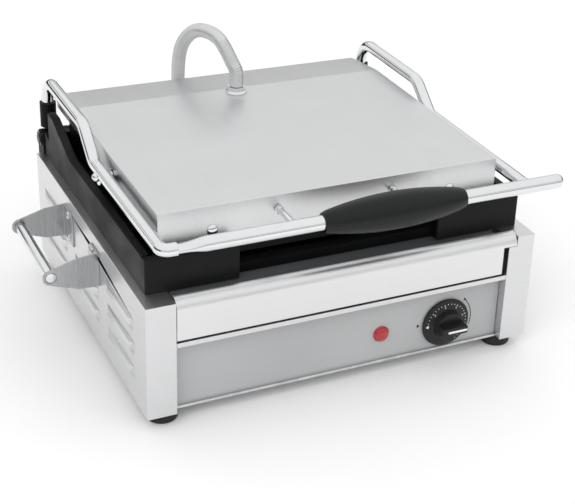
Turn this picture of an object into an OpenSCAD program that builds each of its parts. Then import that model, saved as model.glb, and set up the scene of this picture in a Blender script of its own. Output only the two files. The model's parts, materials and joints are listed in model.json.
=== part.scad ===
// Single contact grill (panini press): folded steel casing on rubber feet, cast-iron lower plate with
// splash walls, cast-iron upper plate under a steel lid, carried between two bent rods that swing on a
// sprung shaft at the back. Front is -Y, up is +Z, origin on the table under the middle of the whole grill.

/* [Casing] */
// Width of the casing over its side panels
case_w = 450; // [380:1:560]
// Depth of the casing from its front posts to its back edge
case_d = 396; // [330:1:480]
// Height of the casing above its feet
case_h = 130; // [110:1:160]
// Thickness of the folded steel sheet
sheet = 1.2; // [0.8:0.1:1.6]
// Width of the front posts
post_w = 32; // [24:1:40]
// Depth of the return behind each post
post_return = 16; // [12:1:24]
// Width of the folded flanges along the casing's top
top_flange = 14; // [10:1:18]
// Width of the folded flanges at the bottom and back
edge_flange = 15; // [10:1:20]
// Diameter of the rubber feet
foot_d = 33; // [24:1:40]
// Height of the rubber feet
foot_h = 14; // [8:1:20]
// Distance of the feet from the casing's edges
foot_inset = 23; // [22:1:40]

/* [Side louvres] */
// Length of each pressed louvre
louvre_l = 86; // [50:1:90]
// Radius of a louvre's rounded section
louvre_r = 8; // [6:0.5:10]
// How far a louvre stands out of the panel
louvre_out = 3.5; // [2:0.5:5]
// Spacing of the louvres along the side
louvre_pitch_y = 119; // [100:1:130]
// Spacing of the louvres up the side
louvre_pitch_z = 28; // [24:1:34]

/* [Control panel] */
// How far the panel sits behind the posts
panel_recess = 12; // [8:1:18]
// Height of the panel's top edge above the casing's bottom
panel_h = 84; // [76:1:96]
// Height of the bright strip along the panel's top
strip_h = 5.5; // [4:0.5:8]
// Height of the light lip along the panel's bottom
lip_h = 3; // [2:0.5:5]
// Distance of the knob right of the middle
knob_x = 125; // [90:1:150]
// Height of the knob above the casing's bottom
knob_z = 33; // [32:1:44]
// Diameter of the knob's skirt
knob_d = 58; // [44:1:58]
// Diameter of the knob's hub
hub_d = 34; // [26:1:38]
// How far the knob stands out of the panel
knob_out = 24; // [18:1:28]
// Distance of the pilot lamp right of the middle
lamp_x = 45; // [0:1:70]
// Height of the pilot lamp above the casing's bottom
lamp_z = 35; // [30:1:44]
// Diameter of the pilot lamp's lens
lamp_d = 19; // [12:1:22]

/* [Drip tray] */
// Depth of the drip tray
tray_d = 62; // [50:1:80]
// Radius of the tray front's rolled top edge
tray_roll = 13; // [8:1:14]
// Height that the tray front's crown stands above the casing
tray_crown = 3; // [1:1:5]
// How far the tray front's lip laps over the right-hand post
tray_lap = 10; // [4:1:14]
// Gap between the tray's front and the right-hand post
tray_gap = 6.5; // [2:0.5:8]

/* [Plates] */
// How far the lower plate's side walls stand in from the casing's sides
plate_inset = 9; // [4:0.5:30]
// Thickness of the lower plate's side walls
wall_t = 10; // [7:1:12]
// Height of the lower plate's side and front walls above the casing
wall_h = 38; // [30:1:44]
// Height of the side walls' raised rear part above the casing
wall_peak_h = 60; // [50:1:66]
// Height of the cooking surface above the casing
cook_h = 11; // [8:1:14]
// Depth of the cooking ribs
rib_h = 3; // [2:0.5:4]
// Spacing of the cooking ribs
rib_pitch = 10; // [8:1:14]
// Length of each front corner wall
corner_l = 101; // [70:1:120]
// Free gap between the two cooking surfaces when closed
plate_gap = 6.5; // [6:0.5:12]
// Width of the upper plate
upper_w = 380; // [310:1:384]
// Thickness of the upper plate's cooking slab
upper_slab = 10; // [8:1:18]

/* [Lid] */
// Width of the lid cover
lid_w = 391; // [320:1:392]
// Distance of the lid's front behind the casing's front
lid_front = 47; // [44:1:56]
// Height of the lid's flat top above the casing
lid_h = 76; // [70:1:90]
// Length of the lid's sloping rear strip
lid_slope_l = 69; // [40:1:80]
// Drop of the sloping rear strip
lid_slope_drop = 8; // [4:1:14]
// Height of the lid's front skirt
lid_front_skirt = 40; // [30:1:44]
// Height of the lid's side skirts
lid_side_skirt = 20; // [14:1:24]

/* [Arms and handle] */
// Diameter of the bent arm rods
arm_d = 14; // [12:1:14]
// Height of the arms' front run above the casing
arm_h = 61; // [56:1:66]
// Height of the arms' raised rear run above the casing
arm_top_h = 91; // [88:1:100]
// Distance from the casing's front to the lower bend
arm_bend_1 = 216; // [200:1:230]
// Distance from the casing's front to the upper bend
arm_bend_2 = 253; // [245:1:275]
// Gap between the lid's side and an arm
arm_gap = 4.5; // [3.5:0.5:8]
// Diameter of the front bar
bar_d = 16; // [14:1:18]
// Length of the front bar
bar_l = 445; // [400:1:480]
// How far the bar is set to the right
bar_shift = 30; // [0:1:34]
// Length of the barrel grip
grip_l = 165; // [120:1:180]
// Largest diameter of the grip
grip_d = 40; // [30:1:42]
// Diameter of the grip's ends
grip_end_d = 22; // [19:1:26]
// How far the grip is set to the right
grip_shift = 45; // [0:1:50]

/* [Hinge] */
// Diameter of the hinge shaft
shaft_d = 12; // [10:1:14]
// Height of the hinge shaft above the casing
shaft_h = 16; // [15:1:18]
// Distance of the hinge shaft behind the casing's back
shaft_back = 6; // [5:1:10]
// Wire diameter of the counterbalance springs
spring_wire = 4; // [3:0.5:5]
// Number of turns in each counterbalance spring
spring_turns = 13; // [8:1:16]

/* [Carry handles] */
// Diameter of the carry rods
rod_d = 12; // [10:1:14]
// Distance from the side panel to a carry rod
rod_out = 52; // [45:1:60]
// Distance from the casing's front to the front brackets
bracket_y1 = 151; // [130:1:160]
// Distance from the casing's front to the rear brackets
bracket_y2 = 278; // [270:1:300]
// Height of a carry rod above the casing's bottom
rod_z = 97; // [80:1:100]

/* [Conduit] */
// Outside diameter of the flexible conduit
conduit_d = 17; // [14:1:18]

/* [Hidden] */
$fn = 48;

// Clearances
running = 0.05;      // radial, for a shaft that turns in a bore
slip = 0.4;          // between parts that pass each other
eps = 0.02;          // overshoot of a cut past a face

// Conduit elbow behind the casing
elbow_out = 28;
elbow_ring_d = conduit_d + 5;

// Casing planes: the grip reaches furthest forward and the conduit's elbow furthest back
front_reach = grip_d / 2;
rear_reach = elbow_out + elbow_ring_d / 2;
front_y = front_reach - (front_reach + case_d + rear_reach) / 2;
back_y = front_y + case_d;
side_x = case_w / 2;
base_z = foot_h;
top_z = base_z + case_h;
post_x = side_x - post_w;
panel_y = front_y + panel_recess;
return_y = front_y + post_return + slip;
foot_x = side_x - foot_inset;
foot_ys = [front_y + foot_inset, back_y - foot_inset];
foot_screw_d = 5;
back_flange = 11;
tap_d = 3.9;
tap_gap = 0.3;
back_screw_x = side_x - 8;
back_screw_zs = [base_z + 12, base_z + 60];

// Carry handle brackets
bracket_h = 40;
bracket_t = 2;
bracket_foot = 34;
bracket_chamfer = 8;
bracket_tip = rod_d / 2 + 3;
bracket_shoulder = 23;
bracket_screw_d = 5;
bracket_screw_in = 20;
bracket_screw_z = 14;

// Louvre pattern
louvre_y0 = 40;
louvre_z0 = 35;
louvre_cols = 3;
louvre_rows = 3;
louvre_ramp = 17;
louvre_mid = side_x - louvre_r + louvre_out;

// Lower plate
plate_x = side_x - plate_inset;
plate_front = 37;
wall_front = 27;
plate_rear = case_d - 7;
rear_wall_t = 8;
rear_wall_h = 28;
slab_drop = 2;
slab_x = side_x - top_flange - slip - 8;
slab_in_front = 8;
slab_in_rear = 12;
rear_face_y = back_y - 6;
casting_skin = 4;
cook_z = top_z + cook_h;
kink_y = 285;
peak_y = 353;
peak_l = 19;
step_h = 26;

// Upper plate and lid
upper_z = cook_z + plate_gap;
upper_x = upper_w / 2;
lid_x = lid_w / 2;
lid_y = front_y + lid_front;
lid_top = top_z + lid_h;
lid_rear = back_y + 9;
crease_y = lid_rear - lid_slope_l;
upper_front = lid_y + sheet;
upper_rear = back_y - 21;
upper_wall = 8;
upper_top = lid_top - lid_side_skirt - 2;
cover_screw_d = 5;

// Hinge
shaft_y = back_y + shaft_back;
shaft_z = top_z + shaft_h;
cheek_outer = plate_x + 2;
cheek_t = 9;
knuckle_w = 15;
knuckle_x = cheek_outer - cheek_t - slip;
inner_cheek = knuckle_x - knuckle_w - slip;
hub_r = 11;
block_foot = 36;
block_plate_t = 5;
hinge_bolt_d = 6;
hinge_bolt_x = (inner_cheek + cheek_outer - cheek_t) / 2;
hinge_bolt_zs = [top_z - 29, top_z - 13];
ring_x = cheek_outer + 1.2;
ring_t = 1.2;
ring_groove_d = shaft_d - 1.6;

// Arms
arm_x = lid_x + arm_gap + arm_d / 2;
arm_z = top_z + arm_h;
arm_top = top_z + arm_top_h;
arm_bend_rs = [0, 18, 28, 30, 0];
socket_z0 = shaft_z + 15;
socket_z1 = shaft_z + 45;
socket_r = arm_d / 2 + 2.5;
pivot_y = front_y + arm_bend_1 - 26;
pivot_z = arm_z - 4;
pivot_d = 8;
eye_d = 20;
eye_half_w = 5;
pivot_in = 8;
boss_over = 8;
bar_y = front_y;
bar_x0 = bar_shift - bar_l / 2;
peg_x = 66;
peg_d = 7;
peg_gap = 0.8;
peg_tip_l = 5;

// Drip tray
tray_z0 = base_z + panel_h + 2.5;
tray_top = top_z + tray_crown;
tray_x0 = -(post_x - 0.5);
tray_x1 = post_x - tray_gap;
tray_lip_z = tray_top - tray_roll - 1;
tray_wall_h = 24;
tray_in_x = post_x - 8;
runner_w = 16;
runner_h = 14;

// Inner works
element_d = 8;
element_x = upper_x - 50;
lower_el_z = top_z - slab_drop - element_d / 2;
heat_y0 = front_y + tray_d + 12;
heat_y1 = back_y - 30;
wool_t = 12;
plate_bolt_x = upper_x - 15;
plate_bolt_d = 6;
plate_bolt_z = cook_z - rib_h - casting_skin;
m6_hex = 11;
m5_hex = 9.2;
upper_el_z = upper_z + upper_slab + element_d / 2;
conduit_hole = conduit_d + 4;
gland_y = lid_rear - 82;
elbow_x = -36;
elbow_z = base_z + 92;
gland_x = 150;
gland_z = base_z + 34;
gland_thread = 16;
elbow_thread = 14;

function fy(d) = front_y + d;
function fz(h) = base_z + h;

// A solid box from one corner to the other
module block(a, b) {
    translate([min(a[0], b[0]), min(a[1], b[1]), min(a[2], b[2])])
        cube([abs(b[0] - a[0]), abs(b[1] - a[1]), abs(b[2] - a[2])]);
}

// Round bars along each axis
module rod_x(x0, x1, y, z, d) { translate([x0, y, z]) rotate([0, 90, 0]) cylinder(d = d, h = x1 - x0); }
module rod_y(y0, y1, x, z, d) { translate([x, y0, z]) rotate([-90, 0, 0]) cylinder(d = d, h = y1 - y0); }
module rod_z(z0, z1, x, y, d) { translate([x, y, z0]) cylinder(d = d, h = z1 - z0); }

// A profile drawn in (y, z) and extruded along x
module along_x(x0, x1) { translate([x0, 0, 0]) rotate([90, 0, 90]) linear_extrude(x1 - x0) children(); }

// A rod bent in the (y, z) plane through a list of points; r lists the bend's radius at each point
function unit(v) = v / norm(v);
function corner_t(p, i, r) =
    let (a = unit(p[i] - p[i - 1]), b = unit(p[i + 1] - p[i])) r * tan(acos(a * b) / 2);
function trim(p, i, r) = (i <= 0 || i >= len(p) - 1) ? 0 : corner_t(p, i, r[i]);

module bent_rod(p, d, r, x) {
    for (i = [0 : len(p) - 2]) {
        way = unit(p[i + 1] - p[i]);
        a = p[i] + way * trim(p, i, r);
        length = norm(p[i + 1] - p[i]) - trim(p, i, r) - trim(p, i + 1, r);
        translate([x, a[0], a[1]]) rotate([atan2(way[1], way[0]), 0, 0]) rotate([-90, 0, 0])
            cylinder(d = d, h = length);
    }
    for (i = [1 : len(p) - 2]) {
        a = unit(p[i] - p[i - 1]);
        b = unit(p[i + 1] - p[i]);
        left = a[0] * b[1] - a[1] * b[0] > 0;
        turn = acos(a * b);
        side = left ? 1 : -1;
        start = p[i] - a * trim(p, i, r);
        centre = start + side * r[i] * [-a[1], a[0]];
        first = atan2(start[1] - centre[1], start[0] - centre[0]) - (left ? 0 : turn);
        translate([x, centre[0], centre[1]]) rotate([90, 0, 90]) rotate([0, 0, first - 0.6])
            rotate_extrude(angle = turn + 1.2) translate([r[i], 0]) circle(d = d + 0.06);
    }
}

// ---- Casing ----

// Where a louvre starts and ends; the last one of the top row starts behind the rear bracket, and the
// carry handle takes the place of the one in the middle of the top row
function louvre_at(i) = fy(louvre_y0 + i * louvre_pitch_y);
function louvre_start(i, j) = i == louvre_cols - 1 && j == louvre_rows - 1
    ? max(louvre_at(i), fy(bracket_y2) + bracket_t + 3) : louvre_at(i);
function louvre_places() = [for (i = [0 : louvre_cols - 1], j = [0 : louvre_rows - 1])
    if (j < louvre_rows - 1 || i == 0 || i == louvre_cols - 1) [i, j]];

// A louvre's rounded bump with sloping ends; inset 0 is its outside and sheet its inside
module louvre_bump(inset, i, j) {
    y0 = louvre_start(i, j);
    y1 = louvre_at(i) + louvre_l;
    z = fz(louvre_z0 + j * louvre_pitch_z);
    root = side_x - 2 * sheet;
    crest = side_x + louvre_out + 1;
    intersection() {
        rod_y(y0 - 1, y1 + 1, louvre_mid, z, 2 * (louvre_r - inset));
        translate([0, 0, z - louvre_r]) linear_extrude(2 * louvre_r) polygon([
            [root, y0 + inset], [side_x, y0 + inset], [crest, y0 + louvre_ramp + inset],
            [crest, y1 - louvre_ramp - inset], [side_x, y1 - inset], [root, y1 - inset]]);
    }
}

module louvre_slit(i, j) {
    z = fz(louvre_z0 + j * louvre_pitch_z);
    block([side_x - 0.3, louvre_start(i, j), z - louvre_r],
        [side_x + louvre_out + 1, louvre_at(i) + louvre_l, z - louvre_r / 2]);
}

// The right-hand panel: side sheet, post, flanges and louvres; the tray's lap needs a notch in the post
module side_panel(notch) {
    difference() {
        union() {
            block([side_x - sheet, front_y, base_z], [side_x, back_y, top_z]);
            block([post_x, front_y, base_z], [side_x, front_y + sheet, top_z]);
            block([post_x, front_y, base_z], [post_x + sheet, front_y + post_return, top_z]);
            block([post_x, front_y, top_z - sheet], [side_x, front_y + wall_front, top_z]);
            block([side_x - top_flange, front_y, top_z - sheet], [side_x, back_y, top_z]);
            block([side_x - edge_flange, front_y, base_z], [side_x, back_y, base_z + sheet]);
            block([side_x - edge_flange, back_y - sheet, base_z], [side_x, back_y, top_z]);
            for (at = louvre_places()) intersection() {
                louvre_bump(0, at[0], at[1]);
                block([side_x - sheet / 2, front_y, base_z], [side_x + louvre_r, back_y, top_z]);
            }
        }
        for (at = louvre_places()) {
            louvre_bump(sheet, at[0], at[1]);
            louvre_slit(at[0], at[1]);
        }
        for (way = [-1, 1], s = [-1, 1])
            rod_x(side_x - 3, side_x + 3, bracket_screw_y(way), fz(rod_z) + s * bracket_screw_z,
                bracket_screw_d + slip);
        for (z = back_screw_zs) rod_y(back_y - 5, back_y + 5, back_screw_x, z, tap_d + tap_gap);
        if (notch) block([post_x - 1, front_y - 1, tray_lip_z - slip],
            [post_x + tray_lap + slip, front_y + tray_roll + 3, top_z + 1]);
    }
}

module side_panel_left() { color("gainsboro") mirror([1, 0, 0]) side_panel(false); }
module side_panel_right() { color("gainsboro") side_panel(true); }

module base_pan() {
    pan_x = side_x - sheet - slip;
    vents = 9;
    vent_pitch = 30;
    vent_w = 6;
    vent_l = 120;
    color("silver") difference() {
        union() {
            block([-pan_x, return_y, base_z + sheet], [pan_x, back_y - 2 * sheet - slip, base_z + 2 * sheet]);
            block([-post_x + slip, panel_y - lip_h, base_z],
                [post_x - slip, return_y + sheet, base_z + sheet]);
            block([-post_x + slip, return_y, base_z], [post_x - slip, return_y + sheet, base_z + 2 * sheet]);
            block([-post_x + slip, panel_y - lip_h, base_z],
                [post_x - slip, panel_y - lip_h + sheet, base_z + lip_h]);
        }
        for (i = [0 : vents - 1]) translate([(i - (vents - 1) / 2) * vent_pitch, 0, base_z])
            block([-vent_w / 2, -vent_l / 2, 0], [vent_w / 2, vent_l / 2, 10]);
        for (x = [-1, 1], y = foot_ys) rod_z(base_z - 1, base_z + 10, x * foot_x, y, foot_screw_d + slip);
    }
}

module back_panel() {
    y1 = back_y - sheet;
    slot_cols = 12;
    slot_x0 = -60;
    slot_pitch = 14;
    slot_w = 5;
    slot_h = 18;
    slot_z = 22;
    color("gainsboro") difference() {
        union() {
            block([-(side_x - sheet - slip), y1 - sheet, base_z + 2 * sheet + slip],
                [side_x - sheet - slip, y1, top_z - sheet - slip]);
            block([-(side_x - top_flange - slip), y1 - sheet, top_z - sheet - slip],
                [side_x - top_flange - slip, y1, top_z]);
            block([-(side_x - top_flange - slip), y1 - back_flange, top_z - sheet],
                [side_x - top_flange - slip, y1, top_z]);
        }
        for (i = [0 : slot_cols - 1], j = [0 : 1])
            translate([slot_x0 + i * slot_pitch, y1, fz(slot_z) + j * (slot_h + 8)])
                block([-slot_w / 2, -5, 0], [slot_w / 2, 5, slot_h]);
        rod_y(y1 - 5, y1 + 5, elbow_x, elbow_z, elbow_thread);
        rod_y(y1 - 5, y1 + 5, gland_x, gland_z, gland_thread);
        for (s = [-1, 1], z = hinge_bolt_zs) rod_y(y1 - 5, y1 + 5, s * hinge_bolt_x, z, hinge_bolt_d + slip);
        for (s = [-1, 1], z = back_screw_zs) rod_y(y1 - 5, y1 + 5, s * back_screw_x, z, tap_d + tap_gap);
    }
}

module control_panel() {
    half = post_x - slip / 2;
    color([0.74, 0.74, 0.75]) difference() {
        union() {
            block([-half, panel_y, base_z + sheet], [half, panel_y + sheet, fz(panel_h)]);
            block([-half, front_y, fz(panel_h) - sheet], [half, panel_y + sheet, fz(panel_h)]);
            block([-half, front_y, fz(panel_h - strip_h)], [half, front_y + sheet, fz(panel_h)]);
        }
        rod_y(panel_y - 1, panel_y + 5, knob_x, fz(knob_z), 10);
        rod_y(panel_y - 1, panel_y + 5, lamp_x, fz(lamp_z), lamp_d - 5 + 0.1);
        for (s = [-1, 1]) rod_y(panel_y - 1, panel_y + 5, knob_x + s * 14, fz(knob_z), 4.2);
    }
}

module rubber_feet() {
    color([0.06, 0.06, 0.06]) for (x = [-1, 1], y = foot_ys)
        translate([x * foot_x, y, 0]) difference() {
            rotate_extrude() polygon([[0, 0], [foot_d / 2 - 2, 0], [foot_d / 2, 2], [foot_d / 2, foot_h - 2],
                [foot_d / 2 - 1, foot_h], [0, foot_h]]);
            translate([0, 0, -1]) cylinder(d = 12, h = 6);
            translate([0, 0, 4]) cylinder(d = foot_screw_d + slip, h = foot_h);
        }
}

module foot_screws() {
    color("silver") for (x = [-1, 1], y = foot_ys) {
        rod_z(4, base_z + 12, x * foot_x, y, foot_screw_d);
        rod_z(2, 5, x * foot_x, y, 9);
        translate([x * foot_x, y, base_z + 2 * sheet]) cylinder(d = m5_hex, h = 4, $fn = 6);
    }
}

// ---- Carry handles, drawn for the right side ----

module carry_bracket(y, way) {
    x1 = side_x + rod_out;
    z = fz(rod_z);
    half = bracket_h / 2;
    root = way > 0 ? y : y + bracket_t;
    free = root + way * bracket_foot;
    tip_x = x1 + bracket_tip * 0.35;
    tip_z = bracket_tip * 0.93;
    color([0.78, 0.79, 0.8]) difference() {
        union() {
            translate([0, y + bracket_t, 0]) rotate([90, 0, 0]) linear_extrude(bracket_t) {
                polygon([[side_x, z - half], [side_x + bracket_shoulder, z - half + 1], [tip_x, z - tip_z],
                    [tip_x, z + tip_z], [side_x + bracket_shoulder, z + half - 2], [side_x, z + half]]);
                translate([x1, z]) circle(bracket_tip);
            }
            along_x(side_x, side_x + bracket_t) polygon([[root, z - half], [free, z - half],
                [free, z + half - bracket_chamfer], [free - way * bracket_chamfer, z + half],
                [root, z + half]]);
        }
        rod_y(y - 5, y + 5, x1, z, rod_d);
        for (s = [-1, 1]) rod_x(side_x - 5, side_x + 9, bracket_screw_y(way), z + s * bracket_screw_z,
            bracket_screw_d + slip);
    }
}
function bracket_screw_y(way) =
    way > 0 ? fy(bracket_y1) + bracket_screw_in : fy(bracket_y2) + bracket_t - bracket_screw_in;

module bracket_screws() {
    color("silver") for (side = [-1, 1], way = [-1, 1], s = [-1, 1]) mirror([side < 0 ? 1 : 0, 0, 0]) {
        y = bracket_screw_y(way);
        z = fz(rod_z) + s * bracket_screw_z;
        rod_x(side_x - sheet - 6, side_x + bracket_t, y, z, bracket_screw_d);
        rod_x(side_x + bracket_t, side_x + bracket_t + 3, y, z, 9);
        translate([side_x - sheet - 4, y, z]) rotate([0, 90, 0]) cylinder(d = m5_hex, h = 4, $fn = 6);
    }
}

module carry_rod() {
    color("silver") rod_y(fy(bracket_y1), fy(bracket_y2) + bracket_t, side_x + rod_out, fz(rod_z), rod_d);
}

module left_bracket_front() { mirror([1, 0, 0]) carry_bracket(fy(bracket_y1), 1); }
module left_bracket_rear() { mirror([1, 0, 0]) carry_bracket(fy(bracket_y2), -1); }
module left_carry_rod() { mirror([1, 0, 0]) carry_rod(); }
module right_bracket_front() { carry_bracket(fy(bracket_y1), 1); }
module right_bracket_rear() { carry_bracket(fy(bracket_y2), -1); }
module right_carry_rod() { carry_rod(); }

// ---- Lower plate and what heats it ----

// Outline of a side wall in (y, z): level front part, slope, raised rear part and a step down
module wall_outline() {
    top = top_z + wall_h;
    polygon([[fy(wall_front), top_z], [fy(wall_front), top], [fy(kink_y), top - 2],
        [fy(peak_y), top_z + wall_peak_h], [fy(peak_y + peak_l), top_z + wall_peak_h],
        [fy(peak_y + peak_l), top_z + step_h], [rear_face_y, top_z + step_h], [rear_face_y, top_z]]);
}

module ribs(x0, x1, y0, y1, z, way) {
    count = floor((x1 - x0) / rib_pitch);
    for (i = [0 : count - 1]) {
        x = (x0 + x1) / 2 + (i - (count - 1) / 2) * rib_pitch;
        translate([x, y1, z]) rotate([90, 0, 0]) linear_extrude(y1 - y0)
            polygon([[-rib_pitch / 2 + 1.2, 0], [rib_pitch / 2 - 1.2, 0],
                [1.6, -way * rib_h], [-1.6, -way * rib_h]]);
    }
}

module lower_plate() {
    y0 = fy(plate_front);
    y1 = fy(plate_rear);
    color([0.1, 0.1, 0.11]) difference() {
        union() {
            block([-plate_x, y0, top_z], [plate_x, y1, cook_z]);
            block([-slab_x, y0 + slab_in_front, top_z - slab_drop], [slab_x, y1 - slab_in_rear, top_z + 1]);
            along_x(-plate_x, -plate_x + wall_t) wall_outline();
            along_x(plate_x - wall_t, plate_x) wall_outline();
            for (s = [-1, 1]) block([s * plate_x, fy(wall_front), top_z],
                [s * (plate_x - corner_l), y0 + 1, top_z + wall_h]);
            block([-plate_x, y1 - rear_wall_t, top_z], [plate_x, y1, top_z + rear_wall_h]);
        }
        ribs(-plate_x + wall_t + 6, plate_x - wall_t - 6, y0 + 12, y1 - rear_wall_t - 10, cook_z + eps, 1);
        for (x = [-1, 1], y = [heat_y0, heat_y1])
            rod_z(top_z - slab_drop - 1, plate_bolt_z, x * plate_bolt_x, y, plate_bolt_d);
    }
}

module grease_chute() {
    y1 = fy(plate_front) - slip;
    chute_t = 1.5;
    color([0.3, 0.31, 0.32]) along_x(-(post_x - 2), post_x - 2 - tray_gap) polygon([
        [fy(wall_front) - 12, top_z - 5], [y1 + 7, top_z - chute_t], [y1 + 7, top_z - slip / 4],
        [fy(wall_front) - 12, top_z - 5 + chute_t], [fy(wall_front) - 14, top_z - 5 + chute_t - 1],
        [fy(wall_front) - 14, top_z - 9], [fy(wall_front) - 12.5, top_z - 9]]);
}

// A hairpin heating rod lying level in a plate, its cold ends at the back
module element_loop(half, y0, y1, z) {
    bend = half / 3;
    for (x = [-half, -half + 2 * bend, half - 2 * bend, half]) {
        inner = abs(x) < half - 1;
        rod_y(y0 + bend, inner ? y1 - bend : y1, x, z, element_d);
    }
    for (x = [-half + bend, half - bend]) translate([x, y0 + bend, z]) element_bend(bend, 180);
    translate([0, y1 - bend, z]) element_bend(bend, 0);
}

// A half-turn, a hair fatter and longer than the rods it joins so that it closes on them
module element_bend(r, heading) {
    rotate([0, 0, heading - 0.6]) rotate_extrude(angle = 181.2)
        translate([r, 0]) circle(d = element_d + 0.06);
}

module lower_element() {
    color([0.35, 0.33, 0.32]) element_loop(element_x, heat_y0, heat_y1, lower_el_z);
}

module lower_insulation() {
    z1 = lower_el_z - element_d / 2;
    color([0.86, 0.84, 0.78]) difference() {
        block([-slab_x + 10, heat_y0 - 4, z1 - wool_t], [slab_x - 10, heat_y1 + 4, z1]);
        for (x = [-1, 1], y = [heat_y0, heat_y1])
            rod_z(z1 - wool_t - 1, z1 + 1, x * plate_bolt_x, y, plate_bolt_d + slip);
    }
}

module heat_shield() {
    z1 = lower_el_z - element_d / 2 - wool_t;
    color("silver") difference() {
        block([-slab_x + 8, heat_y0 - 6, z1 - sheet], [slab_x - 8, heat_y1 + 6, z1]);
        for (x = [-1, 1], y = [heat_y0, heat_y1])
            rod_z(z1 - 5, z1 + 1, x * plate_bolt_x, y, plate_bolt_d + slip);
    }
}

module plate_bolts() {
    z1 = lower_el_z - element_d / 2 - wool_t - sheet;
    color("silver") for (x = [-1, 1], y = [heat_y0, heat_y1]) {
        rod_z(z1 - 8, plate_bolt_z, x * plate_bolt_x, y, plate_bolt_d);
        translate([x * plate_bolt_x, y, z1 - 5]) cylinder(d = m6_hex, h = 5, $fn = 6);
    }
}

module thermostat_body() {
    y = panel_y + sheet;
    color([0.55, 0.5, 0.4]) difference() {
        union() {
            block([knob_x - 22, y, fz(knob_z) - 18], [knob_x + 22, y + 4, fz(knob_z) + 18]);
            block([knob_x - 19, y + 4, fz(knob_z) - 17], [knob_x + 19, y + 30, fz(knob_z) + 17]);
        }
        rod_y(y - 1, y + 24, knob_x, fz(knob_z), 6 + 2 * running);
        for (s = [-1, 1]) rod_y(y - 1, y + 10, knob_x + s * 14, fz(knob_z), 3.5);
    }
}

module thermostat_bulb() {
    x = knob_x - 6;
    y = panel_y + sheet + 30;
    turn_y = max(y + 30, front_y + tray_d + 8);
    z = lower_el_z - element_d / 2 - wool_t - sheet - 6;
    color([0.72, 0.45, 0.3]) {
        rod_y(y, turn_y, x, fz(knob_z) + 8, 3);
        translate([x, turn_y, fz(knob_z) + 8]) sphere(1.5);
        rod_z(fz(knob_z) + 8, z, x, turn_y, 3);
        translate([x, turn_y, z]) sphere(1.5);
        rod_y(turn_y, turn_y + 30, x, z, 3);
        rod_y(turn_y + 30, turn_y + 120, x, z, 6);
    }
}

module pilot_lamp_lens() {
    color([0.85, 0.1, 0.12]) translate([lamp_x, panel_y, fz(lamp_z)]) rotate([90, 0, 0]) rotate_extrude()
        polygon(concat([[0, 0], [lamp_d / 2, 0], [lamp_d / 2, 2]],
            [for (a = [10 : 10 : 90]) [(lamp_d / 2 - 1) * cos(a), 2 + 4 * sin(a)]]));
}

module pilot_lamp_body() {
    color([0.2, 0.2, 0.2]) {
        rod_y(panel_y, panel_y + sheet + 20, lamp_x, fz(lamp_z), lamp_d - 5);
        rod_y(panel_y + sheet, panel_y + sheet + 3, lamp_x, fz(lamp_z), lamp_d + 1);
        for (s = [-1, 1]) block([lamp_x + s * 3 - 0.4, panel_y + sheet + 20, fz(lamp_z) - 2.4],
            [lamp_x + s * 3 + 0.4, panel_y + sheet + 28, fz(lamp_z) + 2.4]);
    }
}

module terminal_block() {
    x = gland_x - 50;
    z = base_z + 2 * sheet;
    poles = 5;
    color([0.9, 0.88, 0.82]) difference() {
        block([x - 24, back_y - 70, z], [x + 24, back_y - 48, z + 18]);
        for (i = [0 : poles - 1]) {
            at = x + (i - (poles - 1) / 2) * 9;
            rod_z(z + 9, z + 19, at, back_y - 59, 4.5);
            rod_y(back_y - 71, back_y - 47, at, z + 6, 3.5);
        }
    }
}

module cable_gland() {
    y = back_y - sheet;
    color([0.12, 0.12, 0.12]) difference() {
        union() {
            rod_y(y - sheet - 12, y + 4, gland_x, gland_z, gland_thread - 2 * running);
            rod_y(y, y + 4, gland_x, gland_z, 24);
            translate([gland_x, y + 4, gland_z]) rotate([-90, 0, 0]) cylinder(d = 22, h = 5, $fn = 6);
            translate([gland_x, y + 9, gland_z]) rotate([-90, 0, 0])
                cylinder(d1 = 18, d2 = 12, h = 11, $fn = 40);
            translate([gland_x, y - sheet - 6, gland_z]) rotate([-90, 0, 0]) cylinder(d = 24, h = 6, $fn = 6);
        }
        rod_y(y - 30, y + 30, gland_x, gland_z, 8);
    }
}

module tray_runners() {
    z = tray_z0 - slip;
    color("silver") for (s = [-1, 1]) mirror([s < 0 ? 1 : 0, 0, 0]) {
        block([post_x - runner_w, return_y, z - sheet], [side_x - sheet, front_y + tray_d, z]);
        block([side_x - 2 * sheet, return_y, z - runner_h], [side_x - sheet, front_y + tray_d, z]);
    }
}

module back_screws() {
    color("silver") for (s = [-1, 1], z = back_screw_zs) {
        rod_y(back_y - 8, back_y, s * back_screw_x, z, tap_d);
        rod_y(back_y, back_y + 2.2, s * back_screw_x, z, 8);
    }
}

// ---- Hinge ----

// Right-hand block: two cheeks that carry the shaft, on a plate bolted to the back panel
module hinge_block() {
    y0 = back_y;
    color([0.12, 0.12, 0.13]) difference() {
        union() {
            block([inner_cheek - cheek_t, y0, top_z - block_foot],
                [cheek_outer, y0 + block_plate_t, top_z - 6]);
            for (x = [inner_cheek - cheek_t, cheek_outer - cheek_t]) {
                rod_x(x, x + cheek_t, shaft_y, shaft_z, 2 * hub_r);
                block([x, rear_face_y + slip, top_z + eps], [x + cheek_t, shaft_y, top_z + step_h]);
                block([x, y0, top_z - block_foot], [x + cheek_t, shaft_y + hub_r, shaft_z]);
            }
        }
        rod_x(inner_cheek - cheek_t - 1, cheek_outer + 1, shaft_y, shaft_z, shaft_d + 2 * running);
        for (z = hinge_bolt_zs) rod_y(y0 - 5, y0 + 30, hinge_bolt_x, z, hinge_bolt_d + slip);
    }
}

module hinge_block_left() { mirror([1, 0, 0]) hinge_block(); }
module hinge_block_right() { hinge_block(); }

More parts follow.
